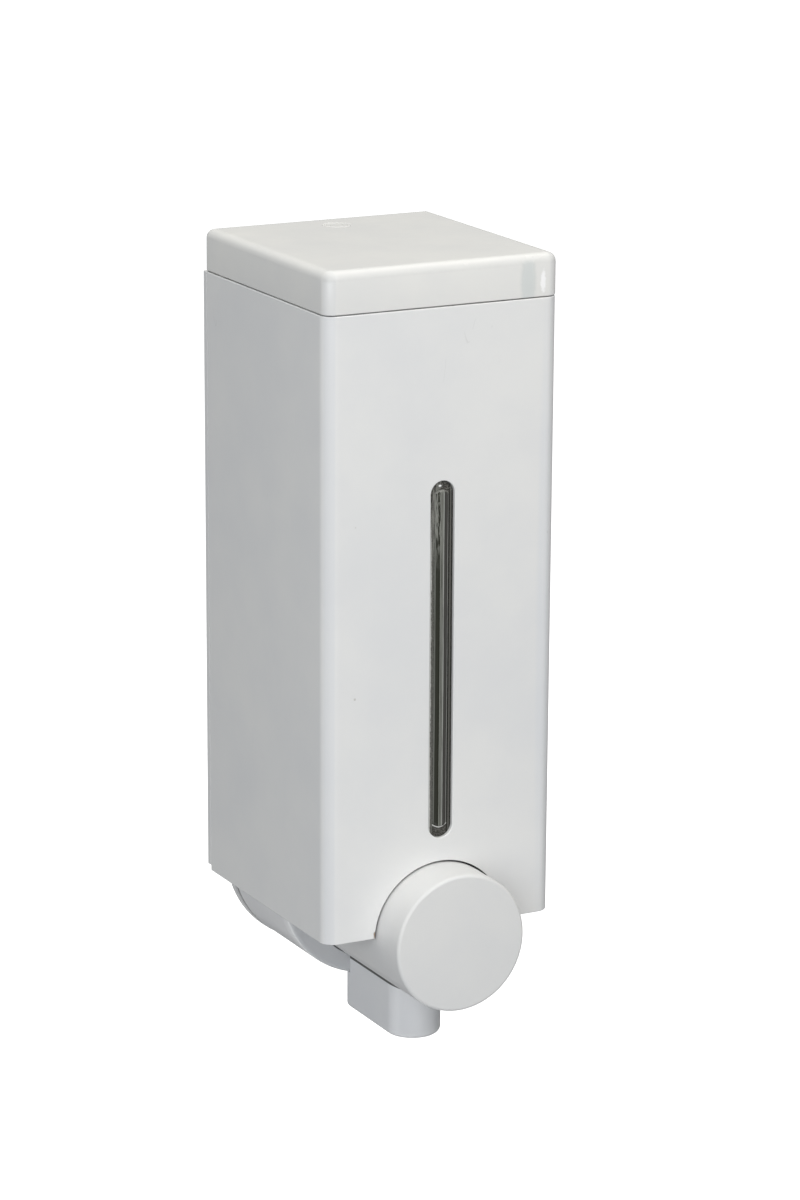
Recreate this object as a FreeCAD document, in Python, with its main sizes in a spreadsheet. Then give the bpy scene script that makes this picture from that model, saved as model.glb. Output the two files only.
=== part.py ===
import FreeCAD, Part
import math
import os
import Sketcher

# A wall mounted soap dispenser with a refillable tank and a push-button pump.
#
# Frame: +X to the user's right, +Y into the wall, +Z up, millimetres.  The origin is the centre of the
# four wall screws on the wall plane (y = 0).  Levels are given from the foot, the lower edge of the casing.
#
# Every length lives in the sheet below.  A Size is a number together with the sheet formula behind it, so
# the same expression draws a sketch and binds it.

SIZES = [
    # casing and its wall plate
    ("width", 72.0, "casing width at its upper rim"),
    ("depth", 77.5, "wall plane to casing front face"),
    ("casing_height", 177.7, "foot to upper rim"),
    ("draft", 0.25, "how much narrower each side is at the foot"),
    ("corner_radius", 4.2, "vertical front corners of the casing"),
    ("casing_wall", 2.4, "casing wall"),
    ("plate_wall", 2.0, "wall plate thickness"),
    ("plate_rise", 1.6, "foot to lower edge of the wall plate"),
    ("screw_height", 95.0, "foot to centre of the wall screws"),
    ("screw_spacing_x", 44.0, "wall screw spacing across"),
    ("screw_spacing_z", 110.0, "wall screw spacing up and down"),
    ("wall_hole_radius", 2.4, "wall screw hole"),
    ("hook_inset", 30.0, "centre plane to middle of a hook"),
    ("hook_width", 3.0, "hook across"),
    ("hook_thickness", 2.4, "hook tongue, front to back"),
    ("hook_height", 11.0, "hook from its base to its tip"),
    ("hook_base", 3.0, "height of a hook's base"),
    ("lug_depth", 3.8, "casing lug behind the hook tongue"),
    ("hook_play", 0.5, "lug to hook and lug to plate"),
    # sight window
    ("slot_width", 7.4, "window slot across"),
    ("slot_rise", 6.95, "top of the arch to lower end of the slot"),
    ("slot_high", 129.3, "foot to upper end of the slot"),
    ("bar_width", 4.5, "sight bar across"),
    ("bar_low_gap", 2.7, "slot end to sight bar, below"),
    ("bar_high_gap", 2.6, "slot end to sight bar, above"),
    ("bar_recess", 0.2, "front face to sight bar crown"),
    ("pane_recess", 0.9, "front face to the pane that fills the slot"),
    ("pane_play", 0.1, "pane to slot"),
    ("window_flange", 1.2, "sight window flange thickness"),
    ("window_margin", 3.6, "sight window flange beyond the slot"),
    # lid and lock
    ("lid_height", 11.85, "lid from its lower edge to its top"),
    ("lid_gap", 0.3, "casing rim to lid"),
    ("lid_inset", 0.15, "lid set back from the casing faces"),
    ("lid_wall", 2.2, "lid wall and top"),
    ("lid_corner_radius", 3.4, "front vertical corners of the lid"),
    ("lid_rear_radius", 2.2, "rear vertical corners of the lid"),
    ("lid_edge_radius", 2.6, "upper edges of the lid"),
    ("lid_rib", 1.4, "locating rib thickness"),
    ("lid_rib_depth", 4.7, "locating rib below the rim"),
    ("lid_rib_play", 0.3, "locating rib to casing"),
    ("lock_back", 12.0, "wall plane to lock axis"),
    ("barrel_radius", 4.0, "lock barrel"),
    ("barrel_drop", 1.5, "rim to lower end of the lock barrel"),
    ("plug_radius", 3.0, "lock plug"),
    ("lock_play", 0.05, "lock plug in its barrel"),
    ("keyway_length", 4.2, "key slot along"),
    ("keyway_width", 0.9, "key slot across"),
    ("keyway_depth", 5.0, "key slot depth"),
    ("nut_flats", 11.0, "lock nut across flats"),
    ("nut_thickness", 3.0, "lock nut"),
    ("cam_width", 7.0, "lock cam"),
    ("cam_reach", 9.4, "lock axis to cam tip"),
    ("cam_thickness", 1.8, "lock cam thickness"),
    ("cam_drop", 2.6, "rim to upper face of the cam"),
    ("cam_screw_radius", 1.2, "screw that holds the cam"),
    ("catch_half", 6.0, "half width of the catch on the wall plate"),
    ("catch_reach", 7.0, "wall plane to catch tip"),
    ("catch_thickness", 1.8, "catch thickness"),
    ("catch_drop", 0.3, "rim to upper face of the catch"),
    # tank
    ("tank_wall", 1.8, "tank wall"),
    ("tank_floor", 2.0, "tank floor"),
    ("tank_room", 4.55, "push button to underside of the tank"),
    ("tank_drop", 7.7, "rim to top of the tank"),
    ("tank_play", 1.1, "tank to casing walls"),
    ("window_gap", 0.5, "sight window flange to tank"),
    ("tank_back", 10.0, "wall plane to tank"),
    ("tank_corner", 4.0, "vertical corners of the tank"),
    ("tank_lip", 0.7, "lip round the mouth, outwards"),
    ("tank_lip_height", 2.0, "lip round the mouth, height"),
    ("neck_wall", 2.1, "tank neck wall"),
    ("neck_length", 6.0, "tank neck below the tank"),
    # pump
    ("button_radius", 19.95, "push button"),
    ("belly_room", 5.35, "push button to underside of the pump housing"),
    ("button_proud", 12.95, "button face in front of the casing"),
    ("button_wall", 2.3, "button skirt wall"),
    ("button_face", 2.4, "button face thickness"),
    ("button_edge", 1.0, "rounding round the button face"),
    ("button_entry", 3.6, "skirt inside the pump housing at rest"),
    ("button_play", 0.35, "button skirt in the pump housing"),
    ("arch_play", 0.4, "button skirt in the casing"),
    ("stroke", 10.0, "button travel"),
    ("belly_radius", 29.6, "round underside of the pump housing"),
    ("belly_rise", 3.8, "foot to centre of the round underside"),
    ("belly_front", 37.6, "wall plane to front of the pump housing"),
    ("belly_edge", 1.2, "rounding of the pump housing front edge"),
    ("housing_wall", 2.0, "pump housing wall"),
    ("housing_gap", 0.3, "pump housing flange to casing"),
    ("plate_gap", 1.4, "pump housing to wall plate"),
    ("flange_low", 2.5, "foot to underside of the closing flange"),
    ("tongue_lip", 0.3, "wall plate tongue beyond the pump housing"),
    ("bore_radius", 7.0, "pump cylinder bore"),
    ("cylinder_wall", 2.2, "pump cylinder wall"),
    ("bore_back", 9.5, "wall plane to closed end of the bore"),
    ("bore_front", 34.6, "wall plane to open end of the bore"),
    ("port_back", 12.0, "wall plane to inlet and outlet axis"),
    ("port_radius", 2.0, "inlet and outlet ports"),
    ("ear_spacing", 13.0, "centre plane to pump cylinder ear"),
    ("ear_radius", 3.2, "pump cylinder ear"),
    ("ear_length", 6.7, "pump cylinder ear, front to back"),
    ("tower_radius", 6.2, "inlet tower"),
    ("tower_bore", 4.6, "inlet tower bore"),
    ("tower_floor", 10.5, "button axis to floor of the inlet tower"),
    ("tower_gap", 0.5, "top of the inlet tower to top of the tank floor"),
    ("ball_radius", 2.5, "inlet ball"),
    ("ball_lift", 1.2, "inlet ball travel"),
    ("ball_rest_bar", 1.0, "cross bars under the inlet ball"),
    ("seat_hole", 1.9, "hole in the inlet seat"),
    ("seat_height", 3.0, "inlet seat"),
    ("seal_play", 0.03, "O-rings to the faces they close"),
    ("press_play", 0.02, "pressed and screwed fits"),
    ("ring_groove", 0.9, "O-ring groove depth"),
    ("ring_play", 0.25, "inlet tower in the tank neck, outlet tube in its socket"),
    ("outlet_radius", 3.6, "outlet tube"),
    ("cap_radius", 11.0, "cylinder cap"),
    ("cap_skirt", 5.6, "cylinder cap over the cylinder"),
    ("cap_face", 3.4, "cylinder cap in front of the cylinder"),
    ("rod_radius", 4.0, "piston rod"),
    ("rod_play", 0.05, "piston rod in the cylinder cap"),
    ("head_radius", 6.5, "piston head"),
    ("head_length", 6.0, "piston head"),
    ("head_gap", 0.1, "piston head to cylinder cap at rest"),
    ("seal_length", 3.5, "piston seal"),
    ("seal_core", 3.4, "spigot that carries the piston seal"),
    ("seal_running", 0.04, "piston seal in its bore"),
    ("piston_screw_radius", 1.1, "piston screw shank"),
    ("boss_radius", 6.2, "boss behind the button face"),
    ("boss_length", 11.5, "boss behind the button face"),
    ("rod_seat", 3.5, "button face inner side to rod tip"),
    ("spring_radius", 7.4, "return spring, mean"),
    ("spring_wire", 0.6, "return spring wire radius"),
    ("spring_turns", 10.0, "return spring turns"),
    # outlet duct and spout
    ("duct_half", 4.0, "duct half width"),
    ("duct_gap", 0.55, "push button to the outside of the duct roof"),
    ("duct_height", 2.2, "duct floor to duct roof"),
    ("duct_wall", 2.0, "duct side walls"),
    ("duct_roof", 1.2, "duct roof"),
    ("socket_height", 8.2, "duct roof to top of the outlet socket"),
    ("socket_wall", 2.1, "outlet socket wall"),
    ("spout_half", 8.1, "spout half width"),
    ("spout_back", 35.5, "wall plane to rear of the spout"),
    ("nozzle_back", 61.1, "wall plane to nozzle axis"),
    ("spout_low", 35.9, "foot down to underside of the spout"),
    ("spout_edge", 1.8, "rounding round the spout's underside"),
    ("spout_gap", 0.05, "spout to pump housing"),
    ("saddle_play", 0.6, "button skirt to the saddle on the spout"),
    ("nozzle_radius", 6.0, "nozzle recess"),
    ("nozzle_depth", 7.1, "nozzle recess"),
    ("valve_flange", 1.4, "outlet valve flange"),
    ("valve_radius", 3.8, "outlet valve body"),
    ("valve_wall", 1.2, "outlet valve wall"),
    ("valve_length", 4.1, "outlet valve body below its flange"),
    ("valve_slit", 0.4, "slit in the outlet valve"),
    ("nozzle_ring_wall", 1.4, "nozzle ring"),
    ("nozzle_ring_recess", 0.3, "nozzle ring above the spout's underside"),
    # screws in the pump housing
    ("boss_front", 68.0, "wall plane to the front screws"),
    ("boss_back", 45.0, "wall plane to the back screws"),
    ("screw_boss_radius", 3.2, "casing screw boss"),
    ("screw_boss_length", 14.5, "casing screw boss"),
    ("web_wall", 2.0, "web from boss to casing side"),
    ("screw_radius", 1.45, "housing screw shank"),
    ("screw_head_radius", 2.8, "housing screw head"),
    ("screw_head_height", 1.8, "housing screw head"),
    ("screw_slot_length", 4.2, "driver slot along"),
    ("screw_slot_width", 0.7, "driver slot across"),
    ("screw_slot_depth", 0.8, "driver slot depth"),
    ("screw_length", 12.0, "housing screw shank"),
    ("pump_screw_radius", 1.2, "pump screw shank"),
    ("pump_head_radius", 2.3, "pump screw head"),
    ("pump_head_height", 1.1, "pump screw head"),
    ("pump_screw_length", 6.5, "pump screw shank"),
]


class Size:
    """A length in millimetres with the sheet formula that it comes from."""

    def __init__(self, value, text):
        self.value = float(value)
        self.text = text

    def combine(self, other, value, sign, swap=False):
        """Join two lengths, or a length and a plain number, into one formula."""
        first = self.text
        second = as_size(other).text
        if swap:
            first, second = second, first
        return Size(value, f"({first} {sign} {second})")

    def __add__(self, other):
        return self.combine(other, self.value + number(other), "+")

    def __radd__(self, other):
        return self.combine(other, number(other) + self.value, "+", swap=True)

    def __sub__(self, other):
        return self.combine(other, self.value - number(other), "-")

    def __rsub__(self, other):
        return self.combine(other, number(other) - self.value, "-", swap=True)

    def __mul__(self, other):
        return self.combine(other, self.value * number(other), "*")

    def __rmul__(self, other):
        return self.combine(other, number(other) * self.value, "*", swap=True)

    def __truediv__(self, other):
        return self.combine(other, self.value / number(other), "/")

    def __neg__(self):
        return Size(-self.value, f"(0 - {self.text})")


def number(value):
    """The plain number of a length or of a number."""
    return value.value if isinstance(value, Size) else float(value)


def as_size(value):
    """A length, made from a plain number where needed."""
    return value if isinstance(value, Size) else Size(value, repr(float(value)))


def root_of_difference(outer, inner):
    """The third side of a right triangle with hypotenuse outer and one side inner."""
    value = math.sqrt(outer.value ** 2 - inner.value ** 2)
    return Size(value, f"sqrt({outer.text} ^ 2 - {inner.text} ^ 2)")


class Sizes:
    """The sheet's lengths by name."""

    def __init__(self, document):
        sheet = document.addObject("Spreadsheet::Sheet", "Sizes")
        for row, (alias, value, note) in enumerate(SIZES, start=1):
            sheet.set(f"A{row}", note)
            sheet.set(f"B{row}", str(value))
            sheet.setAlias(f"B{row}", alias)
            setattr(self, alias, Size(value, f"Sizes.{alias}"))


DOC = FreeCAD.newDocument("soap_dispenser")
S = Sizes(DOC)
DOC.recompute()

# Levels and planes that several pieces share.
FOOT = -S.screw_height
RIM = FOOT + S.casing_height
FACE = -S.depth
HALF_RIM = S.width / 2
HALF_FOOT = S.width / 2 - S.draft
INNER_HALF = HALF_FOOT - S.casing_wall
INNER_FACE = FACE + S.casing_wall
PLATE_FRONT = -S.plate_wall
LID_LOW = RIM + S.lid_gap
LID_TOP = LID_LOW + S.lid_height
LID_FACE = FACE + S.lid_inset
LID_HALF = HALF_RIM - S.lid_inset
LOCK_Y = -S.lock_back
CAM_TOP = RIM - S.cam_drop
CAM_LOW = CAM_TOP - S.cam_thickness
BELLY_Z = FOOT + S.belly_rise
BELLY_FRONT = -S.belly_front
BUTTON_Z = BELLY_Z - S.belly_radius + S.belly_room + S.button_radius
ARCH_RADIUS = S.button_radius + S.arch_play
SLOT_LOW = BUTTON_Z + ARCH_RADIUS + S.slot_rise
SLOT_HIGH = FOOT + S.slot_high
TANK_LOW = BUTTON_Z + S.button_radius + S.tank_room
TANK_TOP = RIM - S.tank_drop
TANK_HALF = INNER_HALF - S.tank_play
TANK_FACE = INNER_FACE + S.window_flange + S.window_gap
TANK_BACK = -S.tank_back
BUTTON_FACE = FACE - S.button_proud
BUTTON_INNER = BUTTON_FACE + S.button_face
BUTTON_OPENING = S.button_radius + S.button_play
HOUSING_BACK = PLATE_FRONT - S.plate_gap
HOUSING_INNER_BACK = HOUSING_BACK - S.housing_wall
HOUSING_INNER_FRONT = BELLY_FRONT + S.housing_wall
FLANGE_LOW = FOOT + S.flange_low
FLANGE_TOP = FLANGE_LOW + S.housing_wall
PORT_Y = -S.port_back
BORE_FRONT = -S.bore_front
BORE_BACK = -S.bore_back
CYLINDER_RADIUS = S.bore_radius + S.cylinder_wall
TOWER_FLOOR = BUTTON_Z + S.tower_floor
TOWER_TOP = TANK_LOW + S.tank_floor - S.tower_gap
BALL_REST = TOWER_FLOOR + S.ball_rest_bar
CAP_FRONT = BORE_FRONT - S.cap_face
HEAD_FRONT = BORE_FRONT + S.head_gap
HEAD_BACK = HEAD_FRONT + S.head_length
SEAL_BACK = HEAD_BACK + S.seal_length
DUCT_HIGH = BUTTON_Z - S.button_radius - S.duct_gap - S.duct_roof
DUCT_LOW = DUCT_HIGH - S.duct_height
SOCKET_HIGH = DUCT_HIGH + S.socket_height
SPOUT_LOW = FOOT - S.spout_low
NOZZLE_Y = -S.nozzle_back
NOZZLE_HIGH = SPOUT_LOW + S.nozzle_depth
SIDES = (-1, 1)
FILLET_SHARE = 0.9  # a fillet takes at most this share of the wall beside it
GRIP_SHARE = 0.9  # a screw fills its blind hole to this share
ZERO = as_size(0)

# Each origin plane: its role, and whether its normal runs along (+1) or against (-1) the world axis.
PLANES = {"XY": ("XY_Plane", 1), "XZ": ("XZ_Plane", -1)}


def new_body(label):
    """A PartDesign body whose label names its file."""
    body = DOC.addObject("PartDesign::Body", label)
    body.Label = label
    return body


def plane_sketch(body, plane, level):
    """A sketch on one of the body's origin planes, moved to a level along that plane's world axis."""
    role, direction = PLANES[plane]
    support = [item for item in body.Origin.OriginFeatures if item.Role == role][0]
    sketch = body.newObject("Sketcher::SketchObject", f"{body.Label}_sketch")
    sketch.AttachmentSupport = [(support, "")]
    sketch.MapMode = "FlatFace"
    offset = level if direction > 0 else -level
    sketch.setExpression("AttachmentOffset.Base.z", offset.text)
    return sketch


def hold(sketch, geometry, point, across, up):
    """Hold one point of a sketch at two bound distances from the sketch's origin."""
    for kind, size in (("DistanceX", as_size(across)), ("DistanceY", as_size(up))):
        index = sketch.addConstraint(Sketcher.Constraint(kind, -1, 1, geometry, point, size.value))
        sketch.setExpression(f"Constraints[{index}]", size.text)


def polygon(sketch, corners):
    """A closed outline of straight lines, each corner bound to the sheet."""
    first = sketch.GeometryCount
    count = len(corners)
    for index in range(count):
        start = FreeCAD.Vector(number(corners[index][0]), number(corners[index][1]), 0)
        following = corners[(index + 1) % count]
        end = FreeCAD.Vector(number(following[0]), number(following[1]), 0)
        sketch.addGeometry(Part.LineSegment(start, end), False)
    for index in range(count):
        after = first + (index + 1) % count
        sketch.addConstraint(Sketcher.Constraint("Coincident", first + index, 2, after, 1))
    for index, (across, up) in enumerate(corners):
        hold(sketch, first + index, 1, across, up)


def rectangle(sketch, left, right, low, high):
    """A closed rectangle between four bound sides."""
    polygon(sketch, [(left, low), (right, low), (right, high), (left, high)])


def circle(sketch, across, up, radius):
    """A full circle with bound centre and radius."""
    radius = as_size(radius)
    centre = FreeCAD.Vector(number(across), number(up), 0)
    index = sketch.addGeometry(Part.Circle(centre, FreeCAD.Vector(0, 0, 1), radius.value), False)
    hold(sketch, index, 3, across, up)
    rule = sketch.addConstraint(Sketcher.Constraint("Radius", index, radius.value))
    sketch.setExpression(f"Constraints[{rule}]", radius.text)


def upright_slot(sketch, middle, low, high, half):
    """A slot with round ends that stands upright between two bound levels."""
    centres = (number(low + half), number(high - half))
    x, r = number(middle), number(half)
    lower = Part.Circle(FreeCAD.Vector(x, centres[0], 0), FreeCAD.Vector(0, 0, 1), r)
    upper = Part.Circle(FreeCAD.Vector(x, centres[1], 0), FreeCAD.Vector(0, 0, 1), r)
    bottom = sketch.addGeometry(Part.ArcOfCircle(lower, math.pi, 2 * math.pi), False)
    right_ends = (FreeCAD.Vector(x + r, centres[0], 0), FreeCAD.Vector(x + r, centres[1], 0))
    right = sketch.addGeometry(Part.LineSegment(*right_ends), False)
    top = sketch.addGeometry(Part.ArcOfCircle(upper, 0, math.pi), False)
    left_ends = (FreeCAD.Vector(x - r, centres[1], 0), FreeCAD.Vector(x - r, centres[0], 0))
    left = sketch.addGeometry(Part.LineSegment(*left_ends), False)
    for first, second in ((bottom, right), (right, top), (top, left), (left, bottom)):
        sketch.addConstraint(Sketcher.Constraint("Tangent", first, 2, second, 1))
    hold(sketch, bottom, 3, middle, low + half)
    hold(sketch, top, 3, middle, high - half)
    rule = sketch.addConstraint(Sketcher.Constraint("Radius", bottom, r))
    sketch.setExpression(f"Constraints[{rule}]", half.text)


def extrude(body, plane, draw, low, high, cut=False):
    """Pad, or cut, an outline between two levels along the plane's world axis."""
    low, high = as_size(low), as_size(high)
    start = low if PLANES[plane][1] > 0 else high
    sketch = plane_sketch(body, plane, start)
    draw(sketch)
    before = body.Shape.Volume if cut else 0.0
    kind = "PartDesign::Pocket" if cut else "PartDesign::Pad"
    feature = body.newObject(kind, f"{body.Label}_{'cut' if cut else 'pad'}")
    feature.Profile = sketch
    feature.Reversed = cut
    feature.setExpression("Length", (high - low).text)
    body.Tip = feature
    DOC.recompute()
    if cut and body.Shape.Volume > before - 1e-6:
        raise RuntimeError(f"{feature.Label} removes nothing")
    return feature


def box(body, x, y, z, cut=False):
    """Add or cut a block between bound faces, each given as a (low, high) pair."""
    return extrude(body, "XY", lambda sketch: rectangle(sketch, x[0], x[1], y[0], y[1]), z[0], z[1], cut)


def lengthwise(body, z, radius, low, high, cut=False, x=ZERO):
    """Add or cut a round bar that runs front to back."""
    return extrude(body, "XZ", lambda sketch: circle(sketch, x, z, radius), low, high, cut)


def upright(body, x, y, radius, low, high, cut=False):
    """Add or cut a round bar that stands upright."""
    return extrude(body, "XY", lambda sketch: circle(sketch, x, y, radius), low, high, cut)


def round_edges(body, radius, wanted):
    """Fillet every edge whose box passes the test."""
    base = body.Tip
    edges = [f"Edge{i}" for i, edge in enumerate(base.Shape.Edges, start=1) if wanted(edge.BoundBox)]
    if not edges:
        raise RuntimeError(f"{body.Label} has no edge to round")
    fillet = body.newObject("PartDesign::Fillet", f"{body.Label}_fillet")
    fillet.Base = (base, edges)
    fillet.setExpression("Radius", as_size(radius).text)
    body.Tip = fillet
    DOC.recompute()


def near(first, second, reach=0.01):
    """Whether two numbers agree."""
    return abs(first - second) < reach


def is_upright(bounds):
    """Whether an edge's box is that of a line that stands upright or nearly so."""
    return bounds.ZLength > 5 and bounds.XLength < bounds.ZLength / 50 and bounds.YLength < 0.01


def half_width_at(level):
    """Half the casing's outer width at a level, along its drafted side."""
    return HALF_FOOT + S.draft * (level - FOOT) / S.casing_height


def hook_levels():
    """The lower levels of the two rows of hooks, which straddle the wall screws."""
    return (-S.screw_spacing_z / 2 + S.hook_height, S.screw_spacing_z / 2 - 2 * S.hook_height)


def make_wall_plate():
    """The flat plate behind the casing, with its round tongue, hooks and lid catch."""
    body = new_body("wall_plate")
    low = FOOT + S.plate_rise
    wide = half_width_at(low)
    outline = [(-wide, low), (wide, low), (HALF_RIM, RIM), (-HALF_RIM, RIM)]
    extrude(body, "XZ", lambda sketch: polygon(sketch, outline), PLATE_FRONT, ZERO)
    lengthwise(body, BELLY_Z, S.belly_radius + S.tongue_lip, PLATE_FRONT, ZERO)
    tongue_back = PLATE_FRONT - S.hook_play - S.lug_depth - S.hook_play
    for side in SIDES:
        middle = side * S.hook_inset
        across = (middle - S.hook_width / 2, middle + S.hook_width / 2)
        for level in hook_levels():
            front = tongue_back - S.hook_thickness
            box(body, across, (front, PLATE_FRONT / 2), (level, level + S.hook_base))
            box(body, across, (front, tongue_back), (level, level + S.hook_height))
    catch_top = RIM - S.catch_drop
    catch = (catch_top - S.catch_thickness, catch_top)
    box(body, (-S.catch_half, S.catch_half), (-S.catch_reach, PLATE_FRONT / 2), catch)
    for side in SIDES:
        for row in SIDES:
            across = side * S.screw_spacing_x / 2
            level = row * S.screw_spacing_z / 2
            lengthwise(body, level, S.wall_hole_radius, PLATE_FRONT, ZERO, cut=True, x=across)
    return body


def casing_bosses():
    """The (x, y) places of the four screw bosses, halfway from the button's opening to the casing's side."""
    middle = (BUTTON_OPENING + INNER_HALF) / 2
    return [(side * middle, -back) for side in SIDES for back in (S.boss_front, S.boss_back)]


def make_casing():
    """The three-sided shell, open at the top, the back and the foot."""
    body = new_body("casing")
    outer = [(-HALF_FOOT, FOOT), (HALF_FOOT, FOOT), (HALF_RIM, RIM), (-HALF_RIM, RIM)]
    extrude(body, "XZ", lambda sketch: polygon(sketch, outer), FACE, PLATE_FRONT)
    front = FACE.value
    round_edges(body, S.corner_radius, lambda b: is_upright(b) and near(b.YMax, front))
    inner_rim = HALF_RIM - S.casing_wall
    inner = [(-INNER_HALF, FOOT), (INNER_HALF, FOOT), (inner_rim, RIM), (-inner_rim, RIM)]
    extrude(body, "XZ", lambda sketch: polygon(sketch, inner), INNER_FACE, PLATE_FRONT, cut=True)
    add_hook_lugs(body)
    add_screw_bosses(body)
    low, high = SLOT_LOW, SLOT_HIGH
    half = S.slot_width / 2
    extrude(body, "XZ", lambda sketch: upright_slot(sketch, ZERO, low, high, half), FACE, INNER_FACE, cut=True)
    lengthwise(body, BUTTON_Z, ARCH_RADIUS, FACE, INNER_FACE, cut=True)
    return body


def add_hook_lugs(body):
    """Blocks inside the casing's sides that hang in the wall plate's hooks."""
    back = PLATE_FRONT - S.hook_play
    for side in SIDES:
        inner = side * (S.hook_inset - S.hook_width / 2)
        outer = side * (HALF_RIM - S.casing_wall / 2)
        across = (inner, outer) if side > 0 else (outer, inner)
        for level in hook_levels():
            low = level + S.hook_base + S.hook_play
            box(body, across, (back - S.lug_depth, back), (low, level + S.hook_height))


def add_screw_bosses(body):
    """Posts, each webbed to the casing's side, that take the pump housing's screws."""
    low = FLANGE_TOP
    high = low + S.screw_boss_length
    for x, y in casing_bosses():
        side = 1 if x.value > 0 else -1
        wall = side * (HALF_RIM - S.casing_wall / 2)
        across = (x, wall) if side > 0 else (wall, x)
        box(body, across, (y - S.web_wall / 2, y + S.web_wall / 2), (low, high))
        upright(body, x, y, S.screw_boss_radius, low, high)
        hole_top = low + S.screw_length
        upright(body, x, y, S.screw_radius + S.press_play, low, hole_top, cut=True)


def make_sight_window():
    """The pane that fills the casing's slot, with its clear bar, on a flange behind the front wall."""
    body = new_body("sight_window")
    half = S.slot_width / 2 + S.window_margin
    low = SLOT_LOW - S.window_margin
    high = SLOT_HIGH + S.window_margin
    flange_back = INNER_FACE + S.window_flange
    box(body, (-half, half), (INNER_FACE, flange_back), (low, high))
    bar_low = SLOT_LOW + S.bar_low_gap
    bar_high = SLOT_HIGH - S.bar_high_gap
    bar = S.bar_width / 2
    pane = FACE + S.pane_recess
    crown = FACE + S.bar_recess
    pane_low, pane_high = SLOT_LOW + S.pane_play, SLOT_HIGH - S.pane_play
    pane_half = S.slot_width / 2 - S.pane_play
    extrude(body, "XZ", lambda sketch: upright_slot(sketch, ZERO, pane_low, pane_high, pane_half), pane, INNER_FACE)
    extrude(body, "XZ", lambda sketch: upright_slot(sketch, ZERO, bar_low, bar_high, bar), crown, pane)
    limit = FILLET_SHARE * min(bar.value, (pane - crown).value)
    ratio = limit / bar.value
    round_edges(body, bar * ratio, lambda b: near(b.YMax, crown.value) and near(b.YMin, crown.value))
    return body


def make_lid():
    """The cap that closes the casing and the tank, with its locating rib."""
    body = new_body("lid")
    back = -S.lid_inset
    box(body, (-LID_HALF, LID_HALF), (LID_FACE, back), (LID_LOW, LID_TOP))
    face, rear = LID_FACE.value, back.value
    round_edges(body, S.lid_corner_radius, lambda b: is_upright(b) and near(b.YMin, face))
    round_edges(body, S.lid_rear_radius, lambda b: is_upright(b) and near(b.YMax, rear))
    top = LID_TOP.value
    round_edges(body, S.lid_edge_radius, lambda b: near(b.ZMin, top) and near(b.ZMax, top))
    wall = S.lid_wall
    inside = (-LID_HALF + wall, LID_HALF - wall)
    box(body, inside, (LID_FACE + wall, back - wall), (LID_LOW, LID_TOP - wall), cut=True)
    add_lid_rib(body, back)
    upright(body, ZERO, LOCK_Y, S.barrel_radius + S.press_play, LID_TOP - wall, LID_TOP, cut=True)
    return body


def add_lid_rib(body, back):
    """A rib on three sides that drops inside the casing's rim and stops short of the wall plate."""
    half = HALF_RIM - S.casing_wall - S.lid_rib_play
    front = INNER_FACE + S.lid_rib_play
    rear = PLATE_FRONT - S.lid_rib_play

    def ring(sketch):
        rectangle(sketch, -half, half, front, rear)
        rectangle(sketch, -half + S.lid_rib, half - S.lid_rib, front + S.lid_rib, rear - S.lid_rib)

    extrude(body, "XY", ring, RIM - S.lid_rib_depth, LID_TOP - S.lid_wall / 2)
    clear_of_plate = -S.catch_reach - S.hook_thickness
    low = RIM - S.lid_rib_depth
    box(body, (-HALF_RIM, HALF_RIM), (clear_of_plate, back), (low, LID_LOW), cut=True)


def make_lock_barrel():
    """The fixed sleeve of the key lock."""
    body = new_body("lock_barrel")
    low = RIM - S.barrel_drop
    upright(body, ZERO, LOCK_Y, S.barrel_radius, low, LID_TOP)
    upright(body, ZERO, LOCK_Y, S.plug_radius + S.lock_play, low, LID_TOP, cut=True)
    return body


def make_lock_nut():
    """The hexagon nut that clamps the lock under the lid."""
    body = new_body("lock_nut")
    across = S.nut_flats / 2
    point = across / math.cos(math.pi / 6)
    corners = []
    for step in range(6):
        angle = step * math.pi / 3
        corners.append((point * math.cos(angle), LOCK_Y + point * math.sin(angle)))
    top = LID_TOP - S.lid_wall
    low = top - S.nut_thickness
    extrude(body, "XY", lambda sketch: polygon(sketch, corners), low, top)
    upright(body, ZERO, LOCK_Y, S.barrel_radius + S.press_play, low, top, cut=True)
    return body


def make_lock_plug():
    """The turning core of the key lock, with its key slot."""
    body = new_body("lock_plug")
    upright(body, ZERO, LOCK_Y, S.plug_radius, CAM_TOP, LID_TOP)
    length, width = S.keyway_length / 2, S.keyway_width / 2
    box(body, (-length, length), (LOCK_Y - width, LOCK_Y + width), (LID_TOP - S.keyway_depth, LID_TOP), cut=True)
    hole = S.cam_screw_radius + S.press_play
    upright(body, ZERO, LOCK_Y, hole, CAM_TOP, CAM_TOP + cam_screw_grip(), cut=True)
    return body


def cam_screw_grip():
    """How far the cam screw runs into the plug."""
    return 2 * S.plug_radius


def make_lock_cam():
    """The flat tongue that turns under the wall plate's catch."""
    body = new_body("lock_cam")
    half = S.cam_width / 2
    upright(body, ZERO, LOCK_Y, half, CAM_LOW, CAM_TOP)
    box(body, (ZERO, S.cam_reach), (LOCK_Y - half, LOCK_Y + half), (CAM_LOW, CAM_TOP))
    tip = S.cam_reach.value
    round_edges(body, half / 3, lambda b: near(b.XMin, tip) and near(b.XMax, tip) and b.ZLength > 1)
    upright(body, ZERO, LOCK_Y, S.cam_screw_radius + S.press_play, CAM_LOW, CAM_TOP, cut=True)
    return body


def make_cam_screw():
    """The screw that holds the cam to the plug."""
    body = new_body("cam_screw")
    head = 2 * S.cam_screw_radius
    upright(body, ZERO, LOCK_Y, head, CAM_LOW - S.cam_screw_radius, CAM_LOW)
    upright(body, ZERO, LOCK_Y, S.cam_screw_radius, CAM_LOW, CAM_TOP + cam_screw_grip() * GRIP_SHARE)
    return body


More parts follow.
